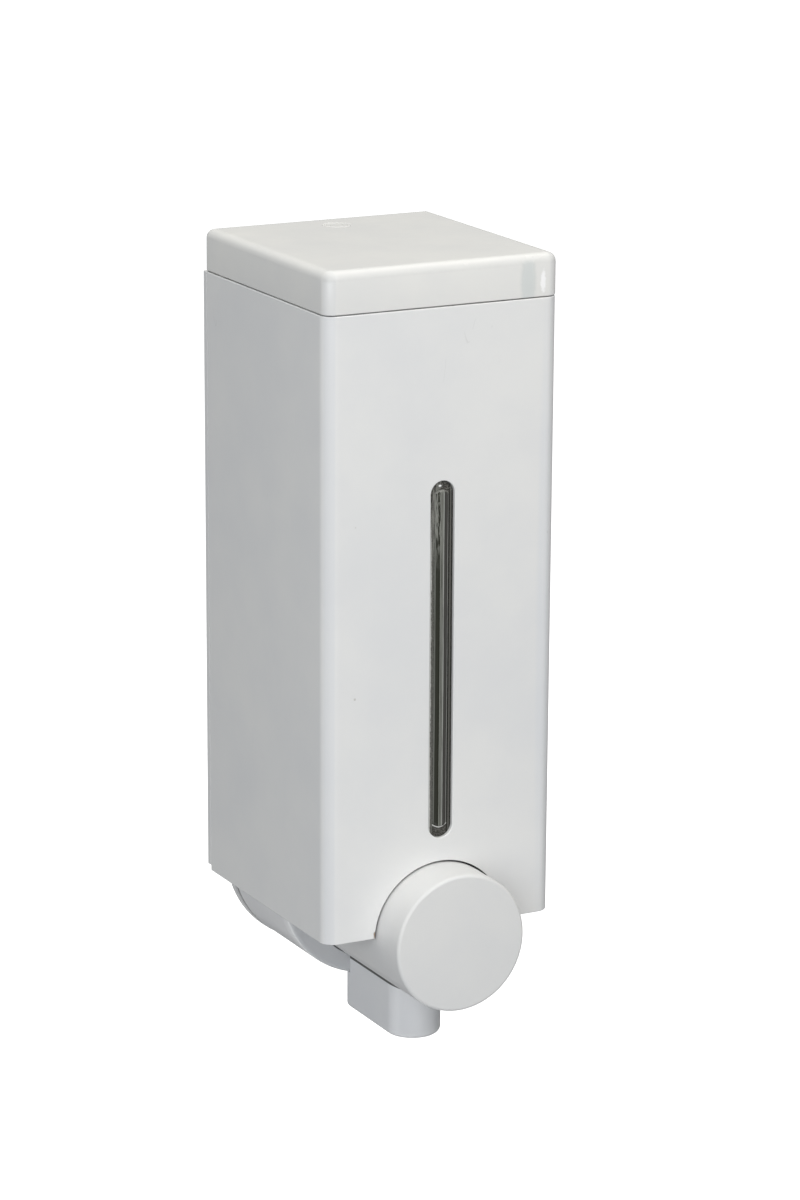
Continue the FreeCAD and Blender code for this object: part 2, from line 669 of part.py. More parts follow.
def make_tank():
    """The lift-out tank, open at the top, with an outlet neck that sits over the inlet tower."""
    body = new_body("tank")
    box(body, (-TANK_HALF, TANK_HALF), (TANK_FACE, TANK_BACK), (TANK_LOW, TANK_TOP))
    round_edges(body, S.tank_corner, is_upright)
    lip = S.tank_lip
    lip_x = (-TANK_HALF - lip, TANK_HALF + lip)
    box(body, lip_x, (TANK_FACE - lip, TANK_BACK + lip), (TANK_TOP - S.tank_lip_height, TANK_TOP))
    wall = S.tank_wall
    inner_x = (-TANK_HALF + wall, TANK_HALF - wall)
    inner_y = (TANK_FACE + wall, TANK_BACK - wall)
    box(body, inner_x, inner_y, (TANK_LOW + S.tank_floor, TANK_TOP), cut=True)
    inner_edge = TANK_HALF.value - wall.value
    round_edges(body, S.tank_corner - wall, lambda b: is_upright(b) and near(abs(b.XMin), inner_edge))
    bore = S.tower_radius + S.ring_play
    neck_low = TANK_LOW - S.neck_length
    upright(body, ZERO, PORT_Y, bore + S.neck_wall, neck_low, TANK_LOW + S.tank_floor / 2)
    upright(body, ZERO, PORT_Y, bore, neck_low, TANK_LOW + S.tank_floor, cut=True)
    return body


def make_o_ring(label, x, y, level, shaft, bore):
    """A ring that fills the gap between a groove in a shaft and the bore round it."""
    floor = shaft - S.ring_groove + S.seal_play
    outer = bore - S.seal_play
    ring = DOC.addObject("Part::Torus", label)
    ring.Label = label
    ring.setExpression("Radius1", ((floor + outer) / 2).text)
    ring.setExpression("Radius2", ((outer - floor) / 2).text)
    for axis, place in (("x", x), ("y", y), ("z", level)):
        ring.setExpression(f"Placement.Base.{axis}", as_size(place).text)
    DOC.recompute()
    return ring


def ring_section(shaft, bore):
    """The height of an O-ring between a groove in a shaft and its bore, with room beside it."""
    return bore - shaft + S.ring_groove + S.seal_play


def cut_ring_groove(body, y, level, shaft, bore):
    """A square groove round an upright shaft, centred on a level."""
    half = ring_section(shaft, bore) / 2

    def washer(sketch):
        circle(sketch, ZERO, y, shaft + S.ring_groove)
        circle(sketch, ZERO, y, shaft - S.ring_groove)

    extrude(body, "XY", washer, level - half, level + half, cut=True)


def tower_ring_level():
    """The level of the O-ring in the tank's neck."""
    return TANK_LOW - S.neck_length / 2


def outlet_ring_level():
    """The level of the O-ring in the outlet socket."""
    return (SOCKET_HIGH + DUCT_HIGH) / 2


def make_pump_cylinder():
    """The moulded cylinder with its inlet tower, outlet tube and two screw ears."""
    body = new_body("pump_cylinder")
    back = HOUSING_INNER_BACK
    lengthwise(body, BUTTON_Z, CYLINDER_RADIUS, BORE_FRONT, back)
    upright(body, ZERO, PORT_Y, S.tower_radius, BUTTON_Z, TOWER_TOP)
    upright(body, ZERO, PORT_Y, S.outlet_radius, DUCT_HIGH, BUTTON_Z)
    ear_x = (-S.ear_spacing, S.ear_spacing)
    ear_z = (BUTTON_Z - S.ear_radius, BUTTON_Z + S.ear_radius)
    box(body, ear_x, (back - S.ear_length / 2, back), ear_z)
    for side in SIDES:
        x = side * S.ear_spacing
        lengthwise(body, BUTTON_Z, S.ear_radius, back - S.ear_length, back, x=x)
    for side in SIDES:
        x = side * S.ear_spacing
        hole = S.pump_screw_radius + S.press_play
        lengthwise(body, BUTTON_Z, hole, back - S.ear_length * GRIP_SHARE, back, cut=True, x=x)
    lengthwise(body, BUTTON_Z, S.bore_radius, BORE_FRONT, BORE_BACK, cut=True)
    upright(body, ZERO, PORT_Y, S.port_radius, DUCT_HIGH, TOWER_TOP, cut=True)
    upright(body, ZERO, PORT_Y, S.tower_bore, TOWER_FLOOR, TOWER_TOP, cut=True)
    reach = (S.tower_bore + S.tower_radius) / 2
    bar = S.ball_rest_bar / 2
    bars = (((-reach, reach), (PORT_Y - bar, PORT_Y + bar)), ((-bar, bar), (PORT_Y - reach, PORT_Y + reach)))
    for x, y in bars:
        box(body, x, y, (TOWER_FLOOR, BALL_REST))
    cut_ring_groove(body, PORT_Y, tower_ring_level(), S.tower_radius, S.tower_radius + S.ring_play)
    cut_ring_groove(body, PORT_Y, outlet_ring_level(), S.outlet_radius, S.outlet_radius + S.ring_play)
    return body


def seat_level():
    """The lower face of the inlet seat, which the ball meets at the end of its travel."""
    centre = BALL_REST + S.ball_radius + S.ball_lift
    return centre + root_of_difference(S.ball_radius, S.seat_hole) + S.press_play


def make_inlet_seat():
    """The ring pressed into the inlet tower above the ball."""
    body = new_body("inlet_seat")
    low = seat_level()
    upright(body, ZERO, PORT_Y, S.tower_bore - S.press_play, low, low + S.seat_height)
    upright(body, ZERO, PORT_Y, S.seat_hole, low, low + S.seat_height, cut=True)
    return body


def make_inlet_ball():
    """The ball that rests on the tower's cross bars and closes the inlet from below."""
    ball = DOC.addObject("Part::Sphere", "inlet_ball")
    ball.Label = "inlet_ball"
    ball.setExpression("Radius", S.ball_radius.text)
    ball.setExpression("Placement.Base.y", PORT_Y.text)
    ball.setExpression("Placement.Base.z", (BALL_REST + S.ball_radius).text)
    DOC.recompute()
    return ball


def make_cylinder_cap():
    """The screw cap that guides the piston rod and stops the piston at rest."""
    body = new_body("cylinder_cap")
    back = BORE_FRONT + S.cap_skirt
    lengthwise(body, BUTTON_Z, S.cap_radius, CAP_FRONT, back)
    lengthwise(body, BUTTON_Z, CYLINDER_RADIUS + S.press_play, BORE_FRONT, back, cut=True)
    lengthwise(body, BUTTON_Z, S.rod_radius + S.rod_play, CAP_FRONT, BORE_FRONT, cut=True)
    return body


def make_button():
    """The palm button: a deep round cup with a boss for the rod and four ribs."""
    body = new_body("button")
    back = BELLY_FRONT + S.button_entry
    lengthwise(body, BUTTON_Z, S.button_radius, BUTTON_FACE, back)
    face = BUTTON_FACE.value
    round_edges(body, S.button_edge, lambda b: near(b.YMin, face) and near(b.YMax, face))
    inner = S.button_radius - S.button_wall
    lengthwise(body, BUTTON_Z, inner, BUTTON_INNER, back, cut=True)
    boss_back = BUTTON_INNER + S.boss_length
    lengthwise(body, BUTTON_Z, S.boss_radius, BUTTON_INNER, boss_back)
    lengthwise(body, BUTTON_Z, S.rod_radius + S.press_play, BUTTON_INNER, boss_back, cut=True)
    rib_back = BUTTON_INNER + S.boss_length / 2
    rib_low = S.spring_radius + 2 * S.spring_wire
    rib = S.button_wall / 4
    for side in SIDES:
        ends = (side * rib_low, side * (inner + S.button_wall / 2))
        span = ends if side > 0 else (ends[1], ends[0])
        level = (BUTTON_Z - rib, BUTTON_Z + rib)
        box(body, span, (BUTTON_INNER - S.button_face / 2, rib_back), level)
        upright_span = (BUTTON_Z + span[0], BUTTON_Z + span[1])
        box(body, (-rib, rib), (BUTTON_INNER - S.button_face / 2, rib_back), upright_span)
    return body


def make_piston_rod():
    """The rod and piston head that ride with the button."""
    body = new_body("piston_rod")
    tip = BUTTON_INNER + S.rod_seat
    lengthwise(body, BUTTON_Z, S.rod_radius, tip, HEAD_FRONT + S.head_gap)
    lengthwise(body, BUTTON_Z, S.head_radius, HEAD_FRONT, HEAD_BACK)
    lengthwise(body, BUTTON_Z, S.seal_core, HEAD_BACK, SEAL_BACK)
    hole = S.piston_screw_radius + S.press_play
    lengthwise(body, BUTTON_Z, hole, piston_screw_tip(), SEAL_BACK, cut=True)
    return body


def piston_screw_tip():
    """The front end of the piston screw's hole."""
    return SEAL_BACK - S.head_length - S.seal_length


def make_piston_seal():
    """The rubber cup round the piston, its lip open to the pump chamber."""
    body = new_body("piston_seal")
    outer = S.bore_radius - S.seal_running
    core = S.seal_core + S.press_play
    lengthwise(body, BUTTON_Z, outer, HEAD_BACK, SEAL_BACK)
    lengthwise(body, BUTTON_Z, core, HEAD_BACK, SEAL_BACK, cut=True)
    third = (outer - core) / 3

    def groove(sketch):
        circle(sketch, ZERO, BUTTON_Z, outer - third)
        circle(sketch, ZERO, BUTTON_Z, core + third)

    extrude(body, "XZ", groove, SEAL_BACK - S.seal_length / 2, SEAL_BACK, cut=True)
    return body


def make_piston_screw():
    """The screw whose broad head holds the seal on the piston."""
    body = new_body("piston_screw")
    head = (S.seal_core + S.head_radius) / 2
    head_back = SEAL_BACK + S.piston_screw_radius
    lengthwise(body, BUTTON_Z, head, SEAL_BACK, head_back)
    lengthwise(body, BUTTON_Z, S.piston_screw_radius, piston_screw_tip() + S.head_gap, SEAL_BACK)
    return body


def make_return_spring():
    """The coil spring between the cylinder cap and the button face."""
    wire = S.spring_wire
    length = CAP_FRONT - BUTTON_INNER - 2 * wire - 2 * S.head_gap
    helix = DOC.addObject("Part::Helix", "spring_helix")
    helix.setExpression("Height", length.text)
    helix.setExpression("Pitch", (length / S.spring_turns).text)
    helix.setExpression("Radius", S.spring_radius.text)
    section = DOC.addObject("Part::Circle", "spring_section")
    section.setExpression("Radius", wire.text)
    quarter = FreeCAD.Rotation(FreeCAD.Vector(1, 0, 0), 90)
    section.Placement = FreeCAD.Placement(FreeCAD.Vector(S.spring_radius.value, 0, 0), quarter)
    section.setExpression("Placement.Base.x", S.spring_radius.text)
    spring = DOC.addObject("Part::Sweep", "return_spring")
    spring.Label = "return_spring"
    spring.Sections = [section]
    spring.Spine = (helix, ["Edge1"])
    spring.Solid = True
    spring.Frenet = True
    spring.Placement = FreeCAD.Placement(FreeCAD.Vector(0, 0, 0), quarter)
    spring.setExpression("Placement.Base.y", (CAP_FRONT - wire - S.head_gap).text)
    spring.setExpression("Placement.Base.z", BUTTON_Z.text)
    DOC.recompute()
    return spring


def make_pump_housing():
    """The round-bottomed housing under the casing, its closing flange and the outlet duct."""
    body = new_body("pump_housing")
    lengthwise(body, BELLY_Z, S.belly_radius, BELLY_FRONT, HOUSING_BACK)
    front = BELLY_FRONT.value
    round_edges(body, S.belly_edge, lambda b: near(b.YMin, front) and near(b.YMax, front))
    across = (-HALF_RIM, HALF_RIM)
    over = (FLANGE_TOP, BELLY_Z + S.belly_radius)
    box(body, across, (BELLY_FRONT, HOUSING_BACK), over, cut=True)
    side = INNER_HALF - S.housing_gap
    box(body, (-side, side), (INNER_FACE + S.housing_gap, HOUSING_BACK), (FLANGE_LOW, FLANGE_TOP))
    inner = S.belly_radius - S.housing_wall
    lengthwise(body, BELLY_Z, inner, HOUSING_INNER_FRONT, HOUSING_INNER_BACK, cut=True)
    lengthwise(body, BUTTON_Z, BUTTON_OPENING, BELLY_FRONT, HOUSING_INNER_FRONT, cut=True)
    box(body, (-BUTTON_OPENING, BUTTON_OPENING), (INNER_FACE, BELLY_FRONT), (FLANGE_LOW, FLANGE_TOP), cut=True)
    for x, y in casing_bosses():
        upright(body, x, y, S.screw_radius + S.press_play, FLANGE_LOW, FLANGE_TOP, cut=True)
    for sign in SIDES:
        x = sign * S.ear_spacing
        hole = S.pump_screw_radius + S.press_play
        head = S.pump_head_radius + S.press_play
        lengthwise(body, BUTTON_Z, hole, HOUSING_INNER_BACK, HOUSING_BACK, cut=True, x=x)
        lengthwise(body, BUTTON_Z, head, HOUSING_BACK - S.pump_head_height, HOUSING_BACK, cut=True, x=x)
    add_outlet_duct(body)
    return body


def add_outlet_duct(body):
    """The flat duct along the belly's floor, and the socket that takes the outlet tube."""
    socket = S.outlet_radius + S.ring_play
    back = PORT_Y + socket + S.socket_wall
    half = S.duct_half + S.duct_wall
    # The block starts inside the belly's wall, which is deeper in the middle than at the block's sides.
    low = BELLY_Z - root_of_difference(S.belly_radius, half)
    box(body, (-half, half), (BELLY_FRONT + S.belly_edge, back), (low, DUCT_HIGH + S.duct_roof))
    upright(body, ZERO, PORT_Y, socket + S.socket_wall, low, SOCKET_HIGH)
    upright(body, ZERO, PORT_Y, socket, DUCT_LOW, SOCKET_HIGH, cut=True)

    def duct(sketch):
        rectangle(sketch, -S.duct_half, S.duct_half, DUCT_LOW, DUCT_HIGH)

    extrude(body, "XZ", duct, BELLY_FRONT, PORT_Y, cut=True)


def make_spout():
    """The block under the button that carries soap forward and turns it down through the nozzle."""
    body = new_body("spout")
    saddle = S.button_radius + S.saddle_play
    high = BUTTON_Z - root_of_difference(saddle, S.spout_half)
    box(body, (-S.spout_half, S.spout_half), (NOZZLE_Y, -S.spout_back), (SPOUT_LOW, high))
    upright(body, ZERO, NOZZLE_Y, S.spout_half, SPOUT_LOW, high)
    low = SPOUT_LOW.value
    round_edges(body, S.spout_edge, lambda b: near(b.ZMin, low) and near(b.ZMax, low) and b.YMin < -1.0)
    lengthwise(body, BUTTON_Z, saddle, NOZZLE_Y - S.spout_half, -S.spout_back, cut=True)
    belly = S.belly_radius + S.spout_gap
    lengthwise(body, BELLY_Z, belly, BELLY_FRONT - S.spout_gap, -S.spout_back, cut=True)

    def channel(sketch):
        rectangle(sketch, -S.duct_half, S.duct_half, DUCT_LOW, DUCT_HIGH)

    extrude(body, "XZ", channel, NOZZLE_Y, BELLY_FRONT - S.spout_gap, cut=True)
    upright(body, ZERO, NOZZLE_Y, S.duct_half, NOZZLE_HIGH, DUCT_HIGH, cut=True)
    upright(body, ZERO, NOZZLE_Y, S.nozzle_radius, SPOUT_LOW, NOZZLE_HIGH, cut=True)
    return body


def make_outlet_valve():
    """The soft nozzle valve: a cup with a slit across its closed end."""
    body = new_body("outlet_valve")
    flange_low = NOZZLE_HIGH - S.valve_flange
    low = flange_low - S.valve_length
    upright(body, ZERO, NOZZLE_Y, S.nozzle_radius - S.press_play, flange_low, NOZZLE_HIGH)
    upright(body, ZERO, NOZZLE_Y, S.valve_radius, low, flange_low)
    bore = S.valve_radius - S.valve_wall
    upright(body, ZERO, NOZZLE_Y, bore, low + S.valve_wall, NOZZLE_HIGH, cut=True)
    slit = S.valve_slit / 2
    box(body, (-bore, bore), (NOZZLE_Y - slit, NOZZLE_Y + slit), (low, low + S.valve_wall), cut=True)
    return body


def make_nozzle_ring():
    """The ring pressed into the spout that holds the outlet valve."""
    body = new_body("nozzle_ring")
    low = SPOUT_LOW + S.nozzle_ring_recess
    high = NOZZLE_HIGH - S.valve_flange
    outer = S.nozzle_radius - S.press_play
    upright(body, ZERO, NOZZLE_Y, outer, low, high)
    upright(body, ZERO, NOZZLE_Y, outer - S.nozzle_ring_wall, low, high, cut=True)
    return body


def bar_solid(radius, low, high, centre, along):
    """A plain round bar between two levels, upright or front to back, for the screw sets."""
    axis = FreeCAD.Vector(0, 0, 1) if along == "z" else FreeCAD.Vector(0, 1, 0)
    start = FreeCAD.Vector(centre[0], centre[1], low) if along == "z" else FreeCAD.Vector(centre[0], low, centre[1])
    return Part.makeCylinder(radius, high - low, start, axis)


def screw_set(label, screws):
    """Identical screws as separate solids in one node."""
    feature = DOC.addObject("Part::Feature", label)
    feature.Label = label
    feature.Shape = Part.makeCompound([head.fuse(shank).removeSplitter() for head, shank in screws])
    DOC.recompute()
    return feature


def make_housing_screws():
    """The four screws that hold the pump housing up to the casing's bosses."""
    screws = []
    low = FLANGE_LOW.value
    for x, y in casing_bosses():
        centre = (x.value, y.value)
        head = bar_solid(S.screw_head_radius.value, low - S.screw_head_height.value, low, centre, "z")
        length, width = S.screw_slot_length.value, S.screw_slot_width.value
        slot = Part.makeBox(length, width, S.screw_slot_depth.value)
        corner = (centre[0] - length / 2, centre[1] - width / 2, low - S.screw_head_height.value)
        slot.translate(FreeCAD.Vector(*corner))
        shank = bar_solid(S.screw_radius.value, low, low + S.screw_length.value, centre, "z")
        screws.append((head.cut(slot), shank))
    return screw_set("housing_screws", screws)


def make_pump_screws():
    """The two screws through the housing's rear wall into the cylinder's ears."""
    screws = []
    back = HOUSING_BACK.value
    head_front = back - S.pump_head_height.value
    for side in SIDES:
        centre = (side * S.ear_spacing.value, BUTTON_Z.value)
        head = bar_solid(S.pump_head_radius.value, head_front, back, centre, "y")
        tip = head_front - S.pump_screw_length.value
        shank = bar_solid(S.pump_screw_radius.value, tip, head_front, centre, "y")
        screws.append((head, shank))
    return screw_set("pump_screws", screws)


def make_all():
    """Every piece of the dispenser, in the order in which it goes together."""
    tower_bore = S.tower_radius + S.ring_play
    outlet_bore = S.outlet_radius + S.ring_play
    return [
        make_wall_plate(),
        make_casing(),
        make_sight_window(),
        make_pump_housing(),
        make_housing_screws(),
        make_pump_cylinder(),
        make_pump_screws(),
        make_inlet_ball(),
        make_inlet_seat(),
        make_cylinder_cap(),
        make_piston_rod(),
        make_piston_seal(),
        make_piston_screw(),
        make_return_spring(),
        make_button(),
        make_o_ring("outlet_o_ring", ZERO, PORT_Y, outlet_ring_level(), S.outlet_radius, outlet_bore),
        make_spout(),
        make_outlet_valve(),
        make_nozzle_ring(),
        make_tank(),
        make_o_ring("tank_o_ring", ZERO, PORT_Y, tower_ring_level(), S.tower_radius, tower_bore),
        make_lid(),
        make_lock_barrel(),
        make_lock_nut(),
        make_lock_plug(),
        make_lock_cam(),
        make_cam_screw(),
    ]


def check(pieces):
    """Stop if any object failed, or any piece is empty, invalid or in more solids than it should be."""
    for item in DOC.Objects:
        if "Invalid" in item.State or "Error" in item.State:
            raise RuntimeError(f"{item.Label} failed: {item.State}")
    for piece in pieces:
        shape = piece.Shape
        if shape.isNull() or not shape.isValid():
            raise RuntimeError(f"{piece.Label} has no valid shape")
        wanted = {"housing_screws": len(casing_bosses()), "pump_screws": len(SIDES)}.get(piece.Label, 1)
        if len(shape.Solids) != wanted:
            raise RuntimeError(f"{piece.Label} is {len(shape.Solids)} solids")


def main():
    """Build, check and write one STEP file for each piece."""
    pieces = make_all()
    DOC.recompute()
    check(pieces)
    os.makedirs("parts", exist_ok=True)
    for piece in pieces:
        piece.Shape.exportStep(os.path.join("parts", f"{piece.Label}.step"))
        bounds = piece.Shape.BoundBox
        print(f"{piece.Label:15s} {piece.Shape.Volume:10.1f} mm3  z {bounds.ZMin:7.1f} to {bounds.ZMax:6.1f}")


main()
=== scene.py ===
"""Looks of a white wall mounted soap dispenser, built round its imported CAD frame.

Lengths are metres in the frame's own axes: +X to the user's right, +Y into the wall, +Z up.
"""

import logging
import math
from dataclasses import dataclass, field
from enum import Enum
from typing import Callable, Optional, Union

import bmesh
import bpy
import numpy as np
from mathutils import Matrix, Vector


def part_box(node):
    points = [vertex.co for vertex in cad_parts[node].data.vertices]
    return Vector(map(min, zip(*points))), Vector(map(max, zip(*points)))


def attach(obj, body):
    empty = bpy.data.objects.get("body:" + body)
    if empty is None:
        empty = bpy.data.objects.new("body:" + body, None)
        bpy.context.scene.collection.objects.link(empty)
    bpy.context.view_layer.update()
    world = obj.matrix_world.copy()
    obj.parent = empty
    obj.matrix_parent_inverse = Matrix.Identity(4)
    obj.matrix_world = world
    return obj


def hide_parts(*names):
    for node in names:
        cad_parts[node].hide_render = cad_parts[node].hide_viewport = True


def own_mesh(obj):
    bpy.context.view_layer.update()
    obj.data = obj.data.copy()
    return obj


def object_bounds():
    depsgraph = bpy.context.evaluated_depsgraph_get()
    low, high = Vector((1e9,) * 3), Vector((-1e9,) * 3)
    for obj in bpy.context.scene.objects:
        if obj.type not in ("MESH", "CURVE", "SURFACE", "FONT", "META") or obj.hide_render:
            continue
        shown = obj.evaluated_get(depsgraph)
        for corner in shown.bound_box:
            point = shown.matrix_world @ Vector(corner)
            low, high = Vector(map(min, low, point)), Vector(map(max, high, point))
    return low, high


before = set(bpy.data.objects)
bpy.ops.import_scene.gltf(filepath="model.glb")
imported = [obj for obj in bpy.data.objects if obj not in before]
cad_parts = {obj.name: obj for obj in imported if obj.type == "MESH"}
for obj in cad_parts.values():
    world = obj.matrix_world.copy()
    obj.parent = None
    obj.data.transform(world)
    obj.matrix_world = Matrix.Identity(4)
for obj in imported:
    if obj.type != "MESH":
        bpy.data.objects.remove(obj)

CAD_BOX = [list(corner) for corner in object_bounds()]
LOG = logging.getLogger("soap_dispenser")
MM = 0.001
TURN = 2.0 * math.pi

Number = Union[int, float]
Triple = tuple[float, float, float]
Colour = Triple


def mm(*values: float) -> tuple[float, ...]:
    """Millimetres as metres."""
    return tuple(value * MM for value in values)


# ---------------------------------------------------------------- shader maths


def _operator(operation: str, reflected: bool = False) -> Callable:
    """A method that adds a Math node over a wire and one more value.

    Args:
        operation: the Math node's operation.
        reflected: put the other value first.

    Returns:
        The method.
    """

    def method(self: "Wire", other: "Wire | Number") -> "Wire":
        pair = (other, self) if reflected else (self, other)
        return self.graph.node("ShaderNodeMath", {"operation": operation}, dict(enumerate(pair)))

    return method


class Wire:
    """One output of a shader node; arithmetic on it adds Math nodes, and comparisons give one or zero."""

    __add__ = _operator("ADD")
    __radd__ = _operator("ADD", reflected=True)
    __sub__ = _operator("SUBTRACT")
    __rsub__ = _operator("SUBTRACT", reflected=True)
    __mul__ = _operator("MULTIPLY")
    __rmul__ = _operator("MULTIPLY", reflected=True)
    __truediv__ = _operator("DIVIDE")
    __rtruediv__ = _operator("DIVIDE", reflected=True)
    __pow__ = _operator("POWER")
    __gt__ = _operator("GREATER_THAN")
    __lt__ = _operator("LESS_THAN")

    def __init__(self, graph: "Graph", socket: bpy.types.NodeSocket) -> None:
        """Keep the socket and the graph that it belongs to."""
        self.graph = graph
        self.socket = socket

    def __abs__(self) -> "Wire":
        """Absolute value."""
        return self.graph.node("ShaderNodeMath", {"operation": "ABSOLUTE"}, {0: self})

    def band(self, middle: Number, outer: Number, inner: Number) -> "Wire":
        """One within an inner distance of a middle value, zero beyond an outer one."""
        return abs(self - middle).step(outer, inner)

    def step(self, low: Number, high: Number) -> "Wire":
        """A smooth ramp from 0 at low to 1 at high, either way round.

        Args:
            low: value that gives 0.
            high: value that gives 1.

        Returns:
            The ramp as a wire.
        """
        settings = {"interpolation_type": "SMOOTHSTEP"}
        flipped = low > high
        start, end = (high, low) if flipped else (low, high)
        inputs = {"Value": self, "From Min": start, "From Max": end}
        ramp = self.graph.node("ShaderNodeMapRange", settings, inputs)
        return 1.0 - ramp if flipped else ramp


class Graph:
    """The node tree of one material, and the few calls that fill it."""

    def __init__(self, name: str) -> None:
        """Make an empty material with an output node."""
        self.material = bpy.data.materials.new(name)
        self.material.use_nodes = True
        self.tree = self.material.node_tree
        self.tree.nodes.clear()
        self.output = self.tree.nodes.new("ShaderNodeOutputMaterial")
        self._place: Optional[Wire] = None

    def node(
        self,
        kind: str,
        settings: Optional[dict] = None,
        inputs: Optional[dict] = None,
        output: Union[int, str] = 0,
    ) -> Wire:
        """Add any node.

        Args:
            kind: the node's type name.
            settings: attributes to set first; "stops" fills a colour ramp with (place, colour) pairs.
            inputs: values or wires by input name or index.
            output: which output the wire stands for.

        Returns:
            The chosen output.
        """
        made = self.tree.nodes.new(kind)
        for key, value in (settings or {}).items():
            if key == "stops":
                self._fill_ramp(made.color_ramp, value)
            else:
                setattr(made, key, value)
        for key, value in (inputs or {}).items():
            if isinstance(value, Wire):
                self.tree.links.new(value.socket, made.inputs[key])
            else:
                made.inputs[key].default_value = value
        return Wire(self, made.outputs[output])

    @staticmethod
    def _fill_ramp(ramp: bpy.types.ColorRamp, stops: list[tuple[float, Colour]]) -> None:
        """Give a colour ramp its stops."""
        while len(ramp.elements) > 1:
            ramp.elements.remove(ramp.elements[-1])
        ramp.elements[0].position = stops[0][0]
        ramp.elements[0].color = (*stops[0][1], 1.0)
        for place, colour in stops[1:]:
            ramp.elements.new(place).color = (*colour, 1.0)

    @property
    def place(self) -> Wire:
        """The point on the piece, in metres."""
        if self._place is None:
            self._place = self.node("ShaderNodeTexCoord", output="Object")
        return self._place

    def axes(self) -> tuple[Wire, Wire, Wire]:
        """The point's x, y and z as separate values."""
        split = self.node("ShaderNodeSeparateXYZ", None, {0: self.place})
        outputs = split.socket.node.outputs
        return tuple(Wire(self, output) for output in outputs)

    def stretched(self, scale: Triple) -> Wire:
        """The point with each axis scaled, for patterns that run along the piece."""
        return self.node("ShaderNodeMapping", None, {"Vector": self.place, "Scale": scale})

    def noise(
        self, scale: float, detail: float = 2.0, roughness: float = 0.5, at: Optional[Wire] = None
    ) -> Wire:
        """Fractal noise, about 0.5 in the middle.

        Args:
            scale: features per metre, roughly.
            detail: number of octaves.
            roughness: how strong the finer octaves are.
            at: the point to read, the piece's own by default.

        Returns:
            The noise value.
        """
        inputs = {"Vector": at or self.place, "Scale": scale, "Detail": detail, "Roughness": roughness}
        return self.node("ShaderNodeTexNoise", {"noise_dimensions": "3D"}, inputs)

    def specks(self, scale: float, size: float, share: float) -> Wire:
        """Small scattered dots: a few cells of a Voronoi pattern, each with a dot at its middle.

        Args:
            scale: cells per metre.
            size: the dot's radius as a share of a cell.
            share: how many cells have a dot, from 0 to 1.

        Returns:
            A mask of the dots.
        """
        inputs = {"Vector": self.place, "Scale": scale}
        near = self.node("ShaderNodeTexVoronoi", None, inputs, "Distance")
        cell = self.node("ShaderNodeTexVoronoi", None, inputs, "Color")
        chance = self.node("ShaderNodeSeparateColor", None, {0: cell})
        return near.step(size, size * 0.55) * (chance > 1.0 - share)

    def mix(self, factor: "Wire | Number", first: "Wire | Colour", second: "Wire | Colour") -> Wire:
        """Blend two colours: the first where the factor is 0, the second where it is 1."""
        ends = [value if isinstance(value, Wire) else (*value, 1.0) for value in (first, second)]
        inputs = {0: factor, 6: ends[0], 7: ends[1]}
        return self.node("ShaderNodeMix", {"data_type": "RGBA"}, inputs, 2)

    def bump(self, height: Wire, distance: float, strength: float = 1.0, over: Optional[Wire] = None) -> Wire:
        """A bumped normal.

        Args:
            height: the height from 0 to 1.
            distance: what a height of 1 is worth, in metres.
            strength: how much of the bump shows.
            over: another bump underneath.

        Returns:
            The normal.
        """
        inputs = {"Height": height, "Distance": distance, "Strength": strength}
        if over is not None:
            inputs["Normal"] = over
        return self.node("ShaderNodeBump", None, inputs)

    def finish(self, constants: dict, **varying: Union[Wire, Number, Colour]) -> bpy.types.Material:
        """Close the graph with a Principled shader.

        Args:
            constants: plain values by socket name.
            varying: wires by socket name, with underscores for spaces.

        Returns:
            The finished material.
        """
        links = {key.replace("_", " "): value for key, value in varying.items()}
        shader = self.node("ShaderNodeBsdfPrincipled", None, {**constants, **links})
        self.tree.links.new(shader.socket, self.output.inputs["Surface"])
        return self.material


# ---------------------------------------------------------------- finishes


@dataclass(frozen=True)
class Crevice:
    """The sides of a round opening about the button's axis, darkened with painted shade.

    Attributes:
        level: level of the button's axis.
        near: radius below which the shade is full.
        far: radius beyond which there is none.
        front: the shade starts this far back, in metres from the wall plane.
        back: the shade ends here.
    """

    level: float
    near: float
    far: float
    front: float = -1.0
    back: float = 1.0

    def mask(self, graph: Graph) -> Wire:
        """One inside the crevice, zero outside."""
        x, y, z = graph.axes()
        rise = z - self.level
        reach = (x * x + rise * rise) ** 0.5
        edge = 0.1 * MM
        behind, before = y.step(self.front - edge, self.front), y.step(self.back, self.back - edge)
        return reach.step(self.far, self.near) * behind * before


@dataclass(frozen=True)
class Spot:
    """A soft round patch of another tone, drawn out along each axis: a blemish, or painted light or shade.

    Attributes:
        place: its middle, in metres.
        size: its half extent along each axis.
        colour: its colour.
        strength: how much of that colour shows.
        ragged: how uneven its outline is, from 0.
    """

    place: Triple
    size: Triple
    colour: Colour
    strength: float
    ragged: float = 0.6

    def mask(self, graph: Graph) -> Wire:
        """One in the middle of the patch, zero outside."""
        scale = tuple(1.0 / value for value in self.size)
        shift = tuple(-at * by for at, by in zip(self.place, scale))
        inputs = {"Vector": graph.place, "Location": shift, "Scale": scale}
        local = graph.node("ShaderNodeMapping", None, inputs)
        away = graph.node("ShaderNodeVectorMath", {"operation": "LENGTH"}, {0: local}, "Value")
        uneven = (graph.noise(900.0, 3.0, 0.6) - 0.5) * 2.0 * self.ragged
        return (away + uneven).step(1.15, 0.45) * self.strength


